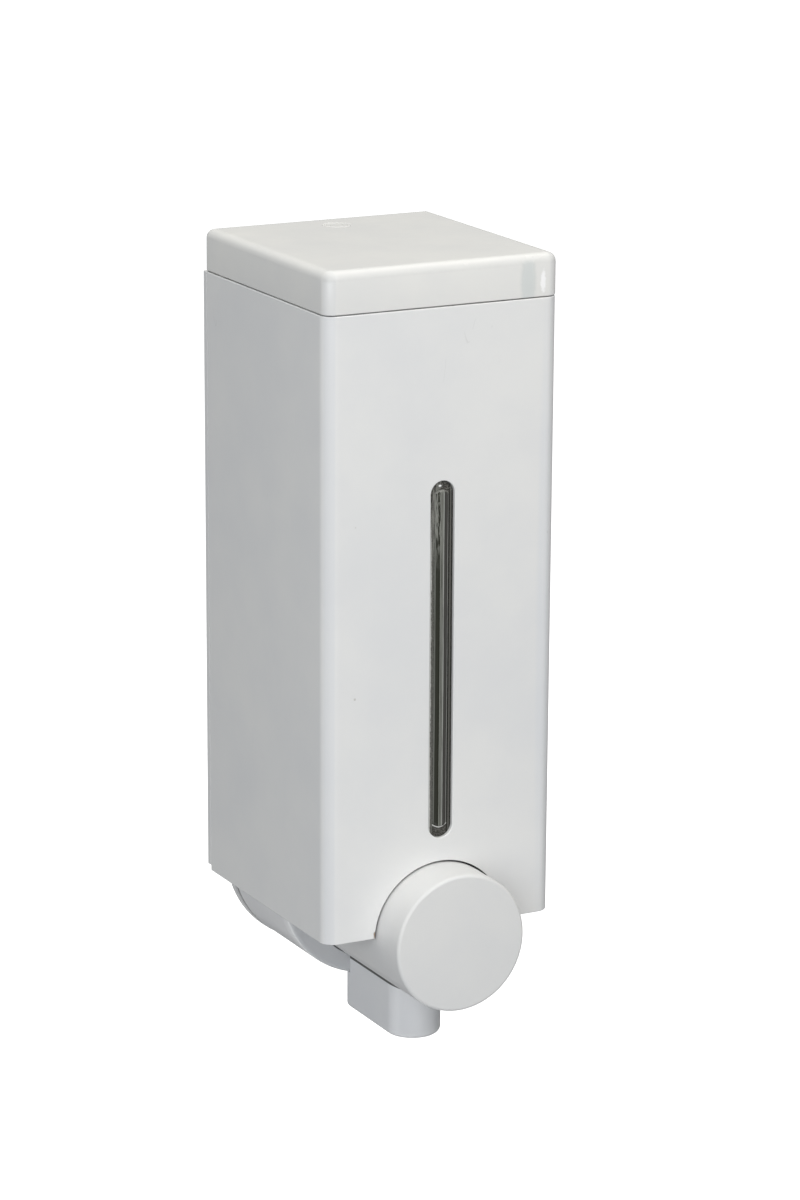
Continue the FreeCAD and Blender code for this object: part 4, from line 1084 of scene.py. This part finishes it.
@dataclass
class Lid:
    """The lift-off cap: a rounded tray upside down, with a rib that drops inside the casing.

    Attributes:
        layout: shared places.
        finish: its material.
        corner: radius of the front vertical corners.
        rear: radius of the rear vertical corners.
        crown: radius of the upper edges.
        wall: wall thickness.
        lip: rounding of the lower edge.
        gap: casing rim to lid.
        rib: rib thickness.
        rib_play: rib to casing.
        casing_wall: casing wall, inside which the rib fits.
        rib_end: where the rib's sides stop, from the wall plane.
    """

    layout: Layout
    finish: bpy.types.Material
    corner: float = 3.4 * MM
    rear: float = 2.2 * MM
    crown: float = 2.6 * MM
    wall: float = 2.2 * MM
    lip: float = 0.3 * MM
    gap: float = 0.3 * MM
    rib: float = 1.4 * MM
    rib_play: float = 0.3 * MM
    casing_wall: float = 2.4 * MM
    rib_end: float = 9.4 * MM

    def ring(self, inset: float, level: float, steps: int = 16) -> np.ndarray:
        """The lid's outline moved in by an inset, at a level; its corners shrink about fixed centres."""
        low, high = self.layout.lid_low, self.layout.lid_high
        front, rear = (max(radius - inset, 0.05 * MM) for radius in (self.corner, self.rear))
        plan = rounded_outline(high.x - inset, low.y + inset, high.y - inset, front, rear, steps)
        return at_level(with_sides(plan, 48), level)

    def hole(self, like: np.ndarray, level: float, radius: float) -> np.ndarray:
        """A circle round the lock, each point in the direction of the outline's own point."""
        centre = np.array(self.layout.lock_centre)
        ways = like[:, :2] - centre
        ways /= np.linalg.norm(ways, axis=1)[:, None]
        return at_level(centre + ways * radius, level)

    def shell(self) -> np.ndarray:
        """The tray as one closed surface: over the crown, down the wall, round the lip and back inside."""
        top = self.layout.lid_high.z
        low = self.layout.rim + self.gap
        ceiling = top - self.wall
        flat = self.crown + 1.0 * MM
        corners = [
            (flat, top, 0.0),
            (0.0, top, self.crown),
            (0.0, low, self.lip),
            (self.wall, low, self.lip),
            (self.wall, ceiling, 0.7 * MM),
            (flat, ceiling, 0.0),
        ]
        rings = [self.ring(inset, level) for inset, level in rounded_profile(corners, 10)]
        bore = 0.5 * (self.layout.lock_high.x - self.layout.lock_low.x) + 0.05 * MM
        edge = 0.15 * MM
        upper = [self.hole(rings[0], top - edge, bore), self.hole(rings[0], top, bore + edge)]
        lower = [self.hole(rings[0], ceiling, bore)]
        return np.stack(upper + rings + lower)

    def rib_rings(self) -> np.ndarray:
        """The rib's rounded section carried along three sides of the casing's mouth."""
        half = self.layout.casing_high.x - self.casing_wall - self.rib_play
        front = self.layout.face + self.casing_wall + self.rib_play
        turn, edge, middle = 1.2 * MM, 0.35 * MM, 0.5 * self.rib
        low, high = self.layout.lid_low.z, self.layout.lid_high.z - 0.5 * self.wall
        corners = [(middle, high, 0.0), (0.0, high, 0.0), (0.0, low, edge), (self.rib, low, edge),
                   (self.rib, high, 0.0), (middle, high, 0.0)]
        rings = []
        for inset, level in rounded_profile(corners, 5)[:-1]:
            run = three_sides(-half + inset, -self.rib_end, front + inset, turn)
            rings.append(at_level(rounded_profile(run, 8), level))
        return np.stack(rings).transpose(1, 0, 2)

    def build(self) -> None:
        """Make the lid."""
        piece = Skin().loft(self.shell(), closed=True).loft(self.rib_rings()).build("lid_shell", 32.0)
        settle(piece, "lid_assembly", "casing_white", self.finish, "lid")


@dataclass
class SightWindow:
    """The clear bar, domed at both ends, on its flat flange.

    Attributes:
        layout: shared places.
        bar_half: half the bar's width.
        slot_half: half the slot's width.
        slot_margin: how far the flange reaches beyond the slot.
        gap_low: slot end to bar, below.
        gap_high: slot end to bar, above.
        flange: flange thickness.
        play: pane to slot.
        bar_recess: casing face to the bar's crown.
        pane_recess: casing face to the pane.
    """

    layout: Layout
    bar_half: float = 2.25 * MM
    slot_half: float = 3.7 * MM
    slot_margin: float = 3.6 * MM
    gap_low: float = 2.7 * MM
    gap_high: float = 2.6 * MM
    flange: float = 1.2 * MM
    play: float = 0.1 * MM
    bar_recess: float = 0.2 * MM
    pane_recess: float = 0.9 * MM

    @property
    def bar_low(self) -> float:
        """The bar's lower end."""
        return self.layout.window_low.z + self.slot_margin + self.gap_low

    @property
    def bar_high(self) -> float:
        """The bar's upper end."""
        return self.layout.window_high.z - self.slot_margin - self.gap_high

    @property
    def pane_level(self) -> float:
        """The pane's front face."""
        return self.layout.face + self.pane_recess

    def bar(self) -> np.ndarray:
        """Slot outlines that shrink by R(1 - cos t) as they rise to sin t of the bar's height."""
        crown = self.layout.face + self.bar_recess
        round_over = 0.55 * self.bar_half
        steps = [(0.0, self.pane_level + 0.5 * self.flange)]
        for turn in arc(0.0, 84.0, 18):
            depth = self.pane_level + (crown - self.pane_level) * math.sin(turn)
            steps.append((round_over * (1.0 - math.cos(turn)), depth))
        return carried(self.bar_half, self.bar_low, self.bar_high, steps)

    def pane(self) -> np.ndarray:
        """The pane that fills the slot: its outline carried forward to its softly rounded face."""
        half = self.slot_half - self.play
        low = self.layout.window_low.z + self.slot_margin + self.play
        high = self.layout.window_high.z - self.slot_margin - self.play
        edge = 0.15 * MM
        back = self.layout.window_high.y - 0.5 * self.flange
        front = self.pane_level
        steps = [(0.0, back), (0.0, front + edge), (edge, front), (1.2 * MM, front)]
        return carried(half, low, high, steps)

    def plate(self) -> np.ndarray:
        """The flange: a rectangle with round corners carried through its thickness."""
        low, high = self.layout.window_low, self.layout.window_high
        edge, corner = 0.15 * MM, 0.1 * MM
        rings = []
        for inset, depth in ((edge, high.y), (0.0, high.y - edge), (0.0, high.y - self.flange)):
            plan = rounded_outline(high.x - inset, low.z + inset, high.z - inset, corner, corner, 3)
            rings.append(at_depth(plan, depth))
        return np.stack(rings)

    def build(self) -> None:
        """Make the window."""
        finish = SmokedAcrylic("window_smoked", self.bar_half, self.bar_low, self.bar_high, self.pane_level)
        piece = Skin().loft(self.bar()).loft(self.pane()).loft(self.plate()).build("sight_bar", 40.0)
        settle(piece, "dispenser", "window_smoked", finish.material(), "sight_window")


@dataclass
class PushButton:
    """The palm button: a deep turned cup with a boss, and four ribs between boss and skirt.

    Attributes:
        layout: shared places.
        finish: its material.
        wall: skirt thickness.
        front: face thickness.
        edge: rounding round the face.
        boss: boss radius.
        bore: bore of the boss.
        boss_length: length of the boss.
    """

    layout: Layout
    finish: bpy.types.Material
    wall: float = 2.3 * MM
    front: float = 2.4 * MM
    edge: float = 1.0 * MM
    boss: float = 6.2 * MM
    bore: float = 4.05 * MM
    boss_length: float = 11.5 * MM

    def profile(self) -> np.ndarray:
        """The cup's half section, from the middle of the face round the skirt to the middle inside."""
        face, back = self.layout.button_low.y, self.layout.button_high.y
        radius, inside = self.layout.button_radius, self.layout.button_radius - self.wall
        floor = face + self.front
        small, middle = 0.4 * MM, 0.4 * MM
        corners = [
            (middle, face, 0.0),
            (radius, face, self.edge),
            (radius, back, small),
            (inside, back, small),
            (inside, floor, 1.0 * MM),
            (self.boss, floor, 0.6 * MM),
            (self.boss, floor + self.boss_length, small),
            (self.bore, floor + self.boss_length, small),
            (self.bore, floor, 0.0),
            (middle, floor, 0.0),
        ]
        return rounded_profile(corners, 12)

    def ribs(self, skin: Skin) -> None:
        """Add the four ribs, each a thin block along one spoke."""
        level = self.layout.button_level
        start = 8.6 * MM
        end = self.layout.button_radius - 0.5 * self.wall
        thick = 0.25 * self.wall
        front = self.layout.button_low.y + 0.5 * self.front
        back = self.layout.button_low.y + self.front + 0.5 * self.boss_length
        for quarter in range(4):
            spoke = np.array((math.cos(quarter * math.pi / 2), math.sin(quarter * math.pi / 2)))
            side = np.array((-spoke[1], spoke[0]))
            corners = ((start, -thick), (end, -thick), (end, thick), (start, thick))
            plan = np.array([spoke * reach + side * offset + (0.0, level) for reach, offset in corners])
            skin.loft(np.stack((at_depth(plan, front), at_depth(plan, back))))

    def build(self) -> None:
        """Make the button."""
        skin = Skin().loft(lathe(self.profile(), (0.0, self.layout.button_level), "y", 192))
        self.ribs(skin)
        piece = skin.build("palm_button", 32.0)
        settle(piece, "push_button", "button_white", self.finish, "button")


@dataclass
class Spout:
    """The block under the button: straight sides, a round front, a saddle on top and the nozzle below.

    Attributes:
        layout: shared places.
        finish: its material.
        edge: rounding round the underside.
        play: gap to the button's skirt.
        belly_gap: gap to the pump housing.
        belly_radius: radius of the pump housing's round underside.
        belly_front: front of the pump housing.
        nozzle: nozzle recess radius.
        depth: nozzle recess depth.
    """

    layout: Layout
    finish: bpy.types.Material
    edge: float = 1.8 * MM
    play: float = 0.6 * MM
    belly_gap: float = 0.05 * MM
    belly_radius: float = 29.6 * MM
    belly_front: float = 37.6 * MM
    nozzle: float = 6.0 * MM
    depth: float = 7.1 * MM

    def plan(self, inset: float) -> np.ndarray:
        """The outline moved in by an inset: two straight sides and a half circle about the nozzle's axis.

        The sides carry a doubled point where the pump housing's front face crosses them.
        """
        half = self.layout.spout_high.x - inset
        back = self.layout.spout_high.y - inset
        _, centre = self.layout.nozzle_centre
        step = -self.belly_front - self.belly_gap
        corner = 0.5 * MM
        right = circle((half - corner, back - corner), corner, arc(0.0, 90.0, 5))
        left = right[::-1] * (-1.0, 1.0)
        across = np.linspace(half - corner, -half + corner, 9)[1:-1]
        rear = np.stack((across, np.full(len(across), back)), axis=-1)
        sides_left = np.array([(-half, step + 1e-6), (-half, step - 1e-6), (-half, 0.5 * (step + centre))])
        sides_right = sides_left[::-1] * (-1.0, 1.0)
        front = circle((0.0, centre), half, arc(180.0, 360.0, 48))
        return np.concatenate((right, rear, left, sides_left, front, sides_right))

    def top(self, plan: np.ndarray) -> np.ndarray:
        """The upper face: the button's saddle in front, the housing's round underside behind.

        Either is a circle's lower side: its centre's level less the root of R squared less x squared.
        """
        x = plan[:, 0]
        saddle = self.layout.button_radius + self.play
        upper = self.layout.button_level - np.sqrt(saddle ** 2 - x ** 2)
        belly_level = self.layout.housing_low.z + self.belly_radius
        under = belly_level - np.sqrt((self.belly_radius + self.belly_gap) ** 2 - x ** 2)
        behind = plan[:, 1] > -self.belly_front - self.belly_gap
        return np.where(behind, under, upper)

    def build(self) -> None:
        """Make the spout."""
        low = self.layout.spout_low.z
        bevel, mouth = 0.08 * MM, 0.3 * MM
        outer = self.plan(0.0)
        plans = [self.plan(5.0 * MM), self.plan(bevel)]
        rings = [at_level(plan, self.top(plan)) for plan in plans]
        rings.append(at_level(outer, self.top(outer) - bevel))
        for turn in arc(0.0, 90.0, 8):
            plan = self.plan(self.edge * (1.0 - math.cos(turn)))
            rings.append(at_level(plan, low + self.edge * (1.0 - math.sin(turn))))
        centre = self.layout.nozzle_centre
        ways = outer - np.array(centre)
        angle = np.arctan2(ways[:, 1], ways[:, 0])
        for radius, rise in ((self.nozzle + mouth, 0.0), (self.nozzle, mouth), (self.nozzle, self.depth)):
            rings.append(at_level(circle(centre, radius, angle), low + rise))
        piece = Skin().loft(np.stack(rings)).build("spout_block", 32.0)
        settle(piece, "dispenser", "housing_white", self.finish, "spout")


@dataclass
class KeyLock:
    """The lock's visible end: a ring flush with the lid and the turning plug with its key slot.

    Attributes:
        layout: shared places.
        finish: its material.
        plug: plug radius.
        play: gap between plug and barrel.
        slot_length: key slot along.
        slot_width: key slot across.
        slot_depth: key slot depth.
    """

    layout: Layout
    finish: bpy.types.Material
    plug: float = 3.0 * MM
    play: float = 0.02 * MM
    slot_length: float = 4.2 * MM
    slot_width: float = 0.9 * MM
    slot_depth: float = 0.5 * MM

    def barrel(self) -> None:
        """The sleeve: a turned tube with small rounded rims."""
        low, high = self.layout.lock_low, self.layout.lock_high
        outer, inner = 0.5 * (high.x - low.x), self.plug + self.play
        middle, edge = 0.5 * (outer + inner), 0.2 * MM
        corners = [(middle, high.z, 0.0), (outer, high.z, edge), (outer, low.z, edge),
                   (inner, low.z, edge), (inner, high.z, edge), (middle, high.z, 0.0)]
        rings = lathe(rounded_profile(corners, 5)[:-1], self.layout.lock_centre, "z", 96)
        piece = Skin().loft(rings, closed=True).build("lock_ring")
        settle(piece, "lid_assembly", "lock_zinc", self.finish, "lock_barrel")

    def core(self) -> None:
        """The plug: circles that close in to the key slot's outline, then drop to the slot's floor."""
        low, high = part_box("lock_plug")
        centre = self.layout.lock_centre
        unit = circle((0.0, 0.0), 1.0, whole_turn(96))
        half_long, half_wide = 0.5 * self.slot_length, 0.5 * self.slot_width
        slot = np.sign(unit) * np.abs(unit) ** 0.5 * (half_long, half_wide) + centre
        edge = 0.2 * MM
        within = self.plug - edge
        steps = ((within, low.z), (self.plug, low.z + edge), (self.plug, high.z - edge), (within, high.z))
        rings = [at_level(unit * radius + centre, level) for radius, level in steps]
        rings += [at_level(slot, level) for level in (high.z, high.z - self.slot_depth)]
        piece = Skin().loft(np.stack(rings)).build("lock_core_plug")
        settle(piece, "lock_core", "lock_zinc", self.finish, "lock_plug")

    def build(self) -> None:
        """Make both pieces."""
        self.barrel()
        self.core()


@dataclass
class ReturnSpring:
    """The coil round the piston rod, which shortens as the button goes in; here it is built at one fixed
    length.

    Attributes:
        finish: its material.
        wire: wire radius.
        turns: number of turns.
    """

    finish: bpy.types.Material
    wire: float = 0.6 * MM
    turns: float = 10.0

    def build(self) -> None:
        """Carry a circle along a helix about the button's axis, its ends closed flat."""
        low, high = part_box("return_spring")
        level, radius = 0.5 * (low.z + high.z), 0.5 * (high.x - low.x) - self.wire
        steps = int(self.turns * 40)
        share = np.linspace(0.0, 1.0, steps)[:, None]
        turn = share * self.turns * TURN
        ring = whole_turn(14)[None]
        start, end = low.y + self.wire, high.y - self.wire
        reach = radius + self.wire * np.cos(ring)
        y = start + (end - start) * share + self.wire * np.sin(ring)
        x, z = reach * np.cos(turn), level + reach * np.sin(turn)
        piece = Skin().loft(np.stack((x, y, z), axis=-1)).build("spring_coil")
        settle(piece, "dispenser", "spring_steel", self.finish, "return_spring")
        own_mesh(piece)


@dataclass(frozen=True)
class InnerPiece:
    """A CAD node whose shape is kept, with its finish and, where hands meet it, an edge rounding."""

    node: str
    body: str
    slot: str
    edge: float = 0.0


INNER_PIECES = (
    InnerPiece("wall_plate", "dispenser", "plate_white", 0.25 * MM),
    InnerPiece("pump_housing", "dispenser", "housing_white", 0.2 * MM),
    InnerPiece("housing_screws", "dispenser", "screw_steel"),
    InnerPiece("pump_cylinder", "dispenser", "pump_acetal"),
    InnerPiece("pump_screws", "dispenser", "screw_steel"),
    InnerPiece("inlet_seat", "dispenser", "pump_acetal"),
    InnerPiece("cylinder_cap", "dispenser", "pump_acetal"),
    InnerPiece("outlet_o_ring", "dispenser", "seal_rubber"),
    InnerPiece("outlet_valve", "dispenser", "valve_silicone"),
    InnerPiece("nozzle_ring", "dispenser", "housing_white"),
    InnerPiece("tank", "dispenser", "tank_natural", 0.3 * MM),
    InnerPiece("tank_o_ring", "dispenser", "seal_rubber"),
    InnerPiece("piston_rod", "push_button", "pump_acetal"),
    InnerPiece("piston_seal", "push_button", "seal_rubber"),
    InnerPiece("piston_screw", "push_button", "screw_steel"),
    InnerPiece("lock_nut", "lid_assembly", "lock_zinc"),
    InnerPiece("lock_cam", "lock_core", "cam_steel"),
    InnerPiece("cam_screw", "lock_core", "screw_steel"),
    InnerPiece("inlet_ball", "ball", "ball_steel"),
)


# ---------------------------------------------------------------- studio


def facing(along: Vector) -> Matrix:
    """The turn that points a camera or a light along a direction, upright."""
    return along.to_track_quat("-Z", "Y").to_matrix().to_4x4()


@dataclass
class Studio:
    """Pale floor, soft lights and the camera.

    Attributes:
        target: the point that the camera looks at.
        turn: how far left of straight ahead the camera stands, in degrees.
        rise: how far above level it stands, in degrees.
        roll: its lean, in degrees.
        distance: target to camera.
        lens: focal length in millimetres on a 36 mm sensor.
        floor_drop: how far the floor lies below the dispenser.
    """

    target: Vector = field(default_factory=lambda: Vector((0.00713, -0.0385, -0.00955)))
    turn: float = 27.4696
    rise: float = 14.8641
    roll: float = 0.3073
    distance: float = 1.23351
    lens: float = 129.939
    floor_drop: float = 0.35

    def camera(self) -> None:
        """Place the camera and make it the scene's own."""
        turn, rise = math.radians(self.turn), math.radians(self.rise)
        away = Vector((-math.sin(turn) * math.cos(rise), -math.cos(turn) * math.cos(rise), math.sin(rise)))
        data = bpy.data.cameras.new("camera")
        data.lens = self.lens
        data.sensor_width = 36.0
        data.clip_end = 60.0
        camera = add_object("camera", data)
        lean = Matrix.Rotation(math.radians(self.roll), 4, "Z")
        place = Matrix.Translation(self.target + away * self.distance)
        camera.matrix_world = place @ facing(-away) @ lean
        bpy.context.scene.camera = camera

    def light(self, name: str, place: Triple, size: tuple[float, float], power: float, tint: Colour) -> None:
        """Hang one soft rectangular light that faces the target."""
        data = bpy.data.lights.new(name, "AREA")
        data.shape = "RECTANGLE"
        data.size, data.size_y = size
        data.energy = power
        data.color = tint
        lamp = add_object(name, data)
        where = Vector(place)
        lamp.matrix_world = Matrix.Translation(where) @ facing(self.target - where)

    def floor(self) -> None:
        """A wide pale floor that glows a little, so that it stays even from edge to edge."""
        graph = Graph("pale_floor")
        soft = graph.noise(0.7, 2.0)
        tone = graph.mix(soft, (0.86, 0.86, 0.86), (0.90, 0.90, 0.90))
        glow = {"Emission Color": (1.0, 1.0, 1.0, 1.0), "Emission Strength": 0.9, "Specular IOR Level": 0.0}
        finish = graph.finish(glow, Base_Color=tone, Roughness=0.9 + soft * 0.05)
        level = CAD_BOX[0][2] - self.floor_drop
        reach = 14.0
        signs = ((-1, -1), (1, -1), (1, 1), (-1, 1))
        corners = [(across * reach, along * reach, level) for across, along in signs]
        mesh = bpy.data.meshes.new("floor")
        mesh.from_pydata(corners, [], [(0, 1, 2, 3)])
        mesh.materials.append(finish)
        floor = add_object("floor", mesh)
        floor.visible_diffuse = False
        floor.visible_glossy = False

    def world(self) -> None:
        """An even white surround."""
        world = bpy.data.worlds.new("surround")
        world.use_nodes = True
        background = world.node_tree.nodes["Background"]
        background.inputs["Color"].default_value = (0.965, 0.985, 1.0, 1.0)
        background.inputs["Strength"].default_value = 0.26
        bpy.context.scene.world = world
        bpy.context.scene.view_settings.view_transform = "Standard"

    def build(self) -> None:
        """Set up the whole studio."""
        self.camera()
        self.world()
        self.floor()
        self.light("window", (-0.88, -1.02, 0.26), (1.12, 0.9), 8.2, (0.95, 0.975, 1.0))
        self.light("key", (0.14, -1.04, 0.78), (0.7, 0.5), 5.2, (1.0, 0.985, 0.96))
        self.light("top", (0.05, -0.05, 1.3), (1.7, 1.5), 16.0, (1.0, 0.985, 0.94))
        self.light("low", (-0.62, 0.2, -0.85), (0.7, 0.7), 3.2, (0.99, 0.99, 1.0))
        self.light("bounce", (-0.1, -0.75, -0.85), (0.8, 0.8), 3.4, (1.0, 1.0, 1.0))


def casing_plastic(layout: Layout) -> MouldedPlastic:
    """The casing's finish: rubbed corners with a painted cool tint, painted shade in the arch, a dried drop
    of soap and a painted shade band on the right side.
    """
    level, radius, face = layout.button_level, layout.button_radius, layout.face
    # Painted shade on the arch's inner wall; the brown drop is a real stain; the bluish band near the right
    # edge is painted shade.
    arch = Crevice(level, radius + 0.50 * MM, radius + 0.62 * MM)
    drop_place = (-radius - 0.3 * MM, face, layout.foot + 1.1 * MM)
    drop = Spot(drop_place, mm(0.8, 1.2, 1.2), (0.26, 0.16, 0.09), 0.9)
    shaded_place = (32.0 * MM, face, -6.0 * MM)
    shaded = Spot(shaded_place, mm(2.6, 0.6, 92.0), (0.68, 0.71, 0.76), 0.3, 0.15)
    corners = (layout.casing_high.x, -face)
    return MouldedPlastic(
        "casing_white", scratched=0.8, corners=corners, crevices=(arch,), spots=(drop, shaded)
    )


def lid_plastic(layout: Layout) -> MouldedPlastic:
    """The lid's finish: a painted grey reflection and a painted white reflection in front, and painted shade
    on the rounded upper edges.
    """
    face, rim = layout.lid_low.y, layout.rim
    into, edge = 1.2 * MM, (0.60, 0.60, 0.59)
    crown = layout.lid_high.z - into
    side = layout.lid_low.x + into
    # Painted reflections of the studio in front, then painted shade along the rounded front and left upper
    # edges.
    spots = (
        Spot((26.0 * MM, face, rim + 5.0 * MM), mm(2.7, 0.6, 9.0), (0.60, 0.64, 0.635), 0.6, 0.15),
        Spot((30.6 * MM, face, rim + 4.6 * MM), mm(0.9, 0.6, 3.6), (1.0, 1.0, 1.0), 0.9, 0.5),
        Spot((0.0, face + into, crown), mm(160.0, 1.9, 1.9), edge, 0.5, 0.1),
        Spot((side, 0.5 * face, crown), mm(1.9, 160.0, 1.9), edge, 0.3, 0.1),
    )
    return MouldedPlastic("lid_white", (0.80, 0.795, 0.775), corners=(layout.lid_high.x, -face), spots=spots)


def housing_plastic() -> MouldedPlastic:
    """The pump housing's finish: painted shade at the wall, a painted highlight on the rounded front rim and
    a painted shadow on the front end face.
    """
    # Painted shade near the wall plate, a painted highlight on the front rim and a painted shadow on the end
    # face under the casing.
    lip = Crevice(0.0, 0.2, 0.3, -4.0 * MM, 0.0)
    rim = Spot(mm(-20.0, -35.6, -108.0), mm(14.0, 3.0, 26.0), (0.95, 0.95, 0.95), 0.9, 0.1)
    end = Spot(mm(-12.0, -37.6, -112.0), mm(26.0, 0.8, 30.0), (0.50, 0.51, 0.525), 0.85, 0.1)
    return MouldedPlastic("housing_white", (0.85, 0.85, 0.855), 0.34, crevices=(lip,), spots=(rim, end))


def all_finishes(layout: Layout) -> dict[str, bpy.types.Material]:
    """Every finish but the window's, by name.

    Args:
        layout: shared places, for the marks and the painted shade in the gaps.

    Returns:
        Materials by name.
    """
    level, radius = layout.button_level, layout.button_radius
    # Painted shade in the gap between button skirt and spout, and in the gap between the wall plate's tongue
    # and the pump housing.
    saddle = Crevice(level, radius + 1.3 * MM, radius + 1.5 * MM)
    belly_level = layout.housing_low.z + Spout.belly_radius
    tongue = Crevice(belly_level, *mm(28.6, 29.4, -2.2, -1.8))
    finishes = (
        casing_plastic(layout),
        lid_plastic(layout),
        MouldedPlastic("plate_white", (0.76, 0.76, 0.76), 0.45, crevices=(tongue,)),
        MouldedPlastic("button_white", (0.75, 0.75, 0.745), 0.46, 0.00001, 0.02),
        housing_plastic(),
        MouldedPlastic("spout_white", (0.82, 0.825, 0.835), 0.30, crevices=(saddle,)),
        NaturalPolymer("tank_natural"),
        NaturalPolymer("pump_acetal", (0.78, 0.78, 0.75), 0.35),
        Elastomer("seal_rubber", (0.02, 0.02, 0.02)),
        Elastomer("valve_silicone", (0.55, 0.58, 0.60), 0.5),
        MetalFinish("screw_steel", Metal.SCREW),
        MetalFinish("cam_steel", Metal.SCREW),
        MetalFinish("spring_steel", Metal.SPRING),
        MetalFinish("ball_steel", Metal.POLISHED),
        MetalFinish("lock_zinc", Metal.ZINC),
        MouldedPlastic("lock_white", (0.74, 0.735, 0.715), 0.3, specks=0.0),
    )
    return {finish.name: finish.material() for finish in finishes}


def main() -> None:
    """Build the studio, then the dispenser from its shell inwards."""
    logging.basicConfig(level=logging.INFO, format="%(name)s: %(message)s")
    layout = Layout()
    finishes = all_finishes(layout)
    Studio().build()
    Casing(layout, finishes["casing_white"]).build()
    Lid(layout, finishes["lid_white"]).build()
    SightWindow(layout).build()
    PushButton(layout, finishes["button_white"]).build()
    Spout(layout, finishes["spout_white"]).build()
    KeyLock(layout, finishes["lock_white"]).build()
    ReturnSpring(finishes["spring_steel"]).build()
    for inner in INNER_PIECES:
        piece = refined(inner.node)
        if inner.edge > 0.0:
            soften(piece, inner.edge, 2)
        settle(piece, inner.body, inner.slot, finishes[inner.slot], inner.node)


if __name__ == "__main__":
    main()
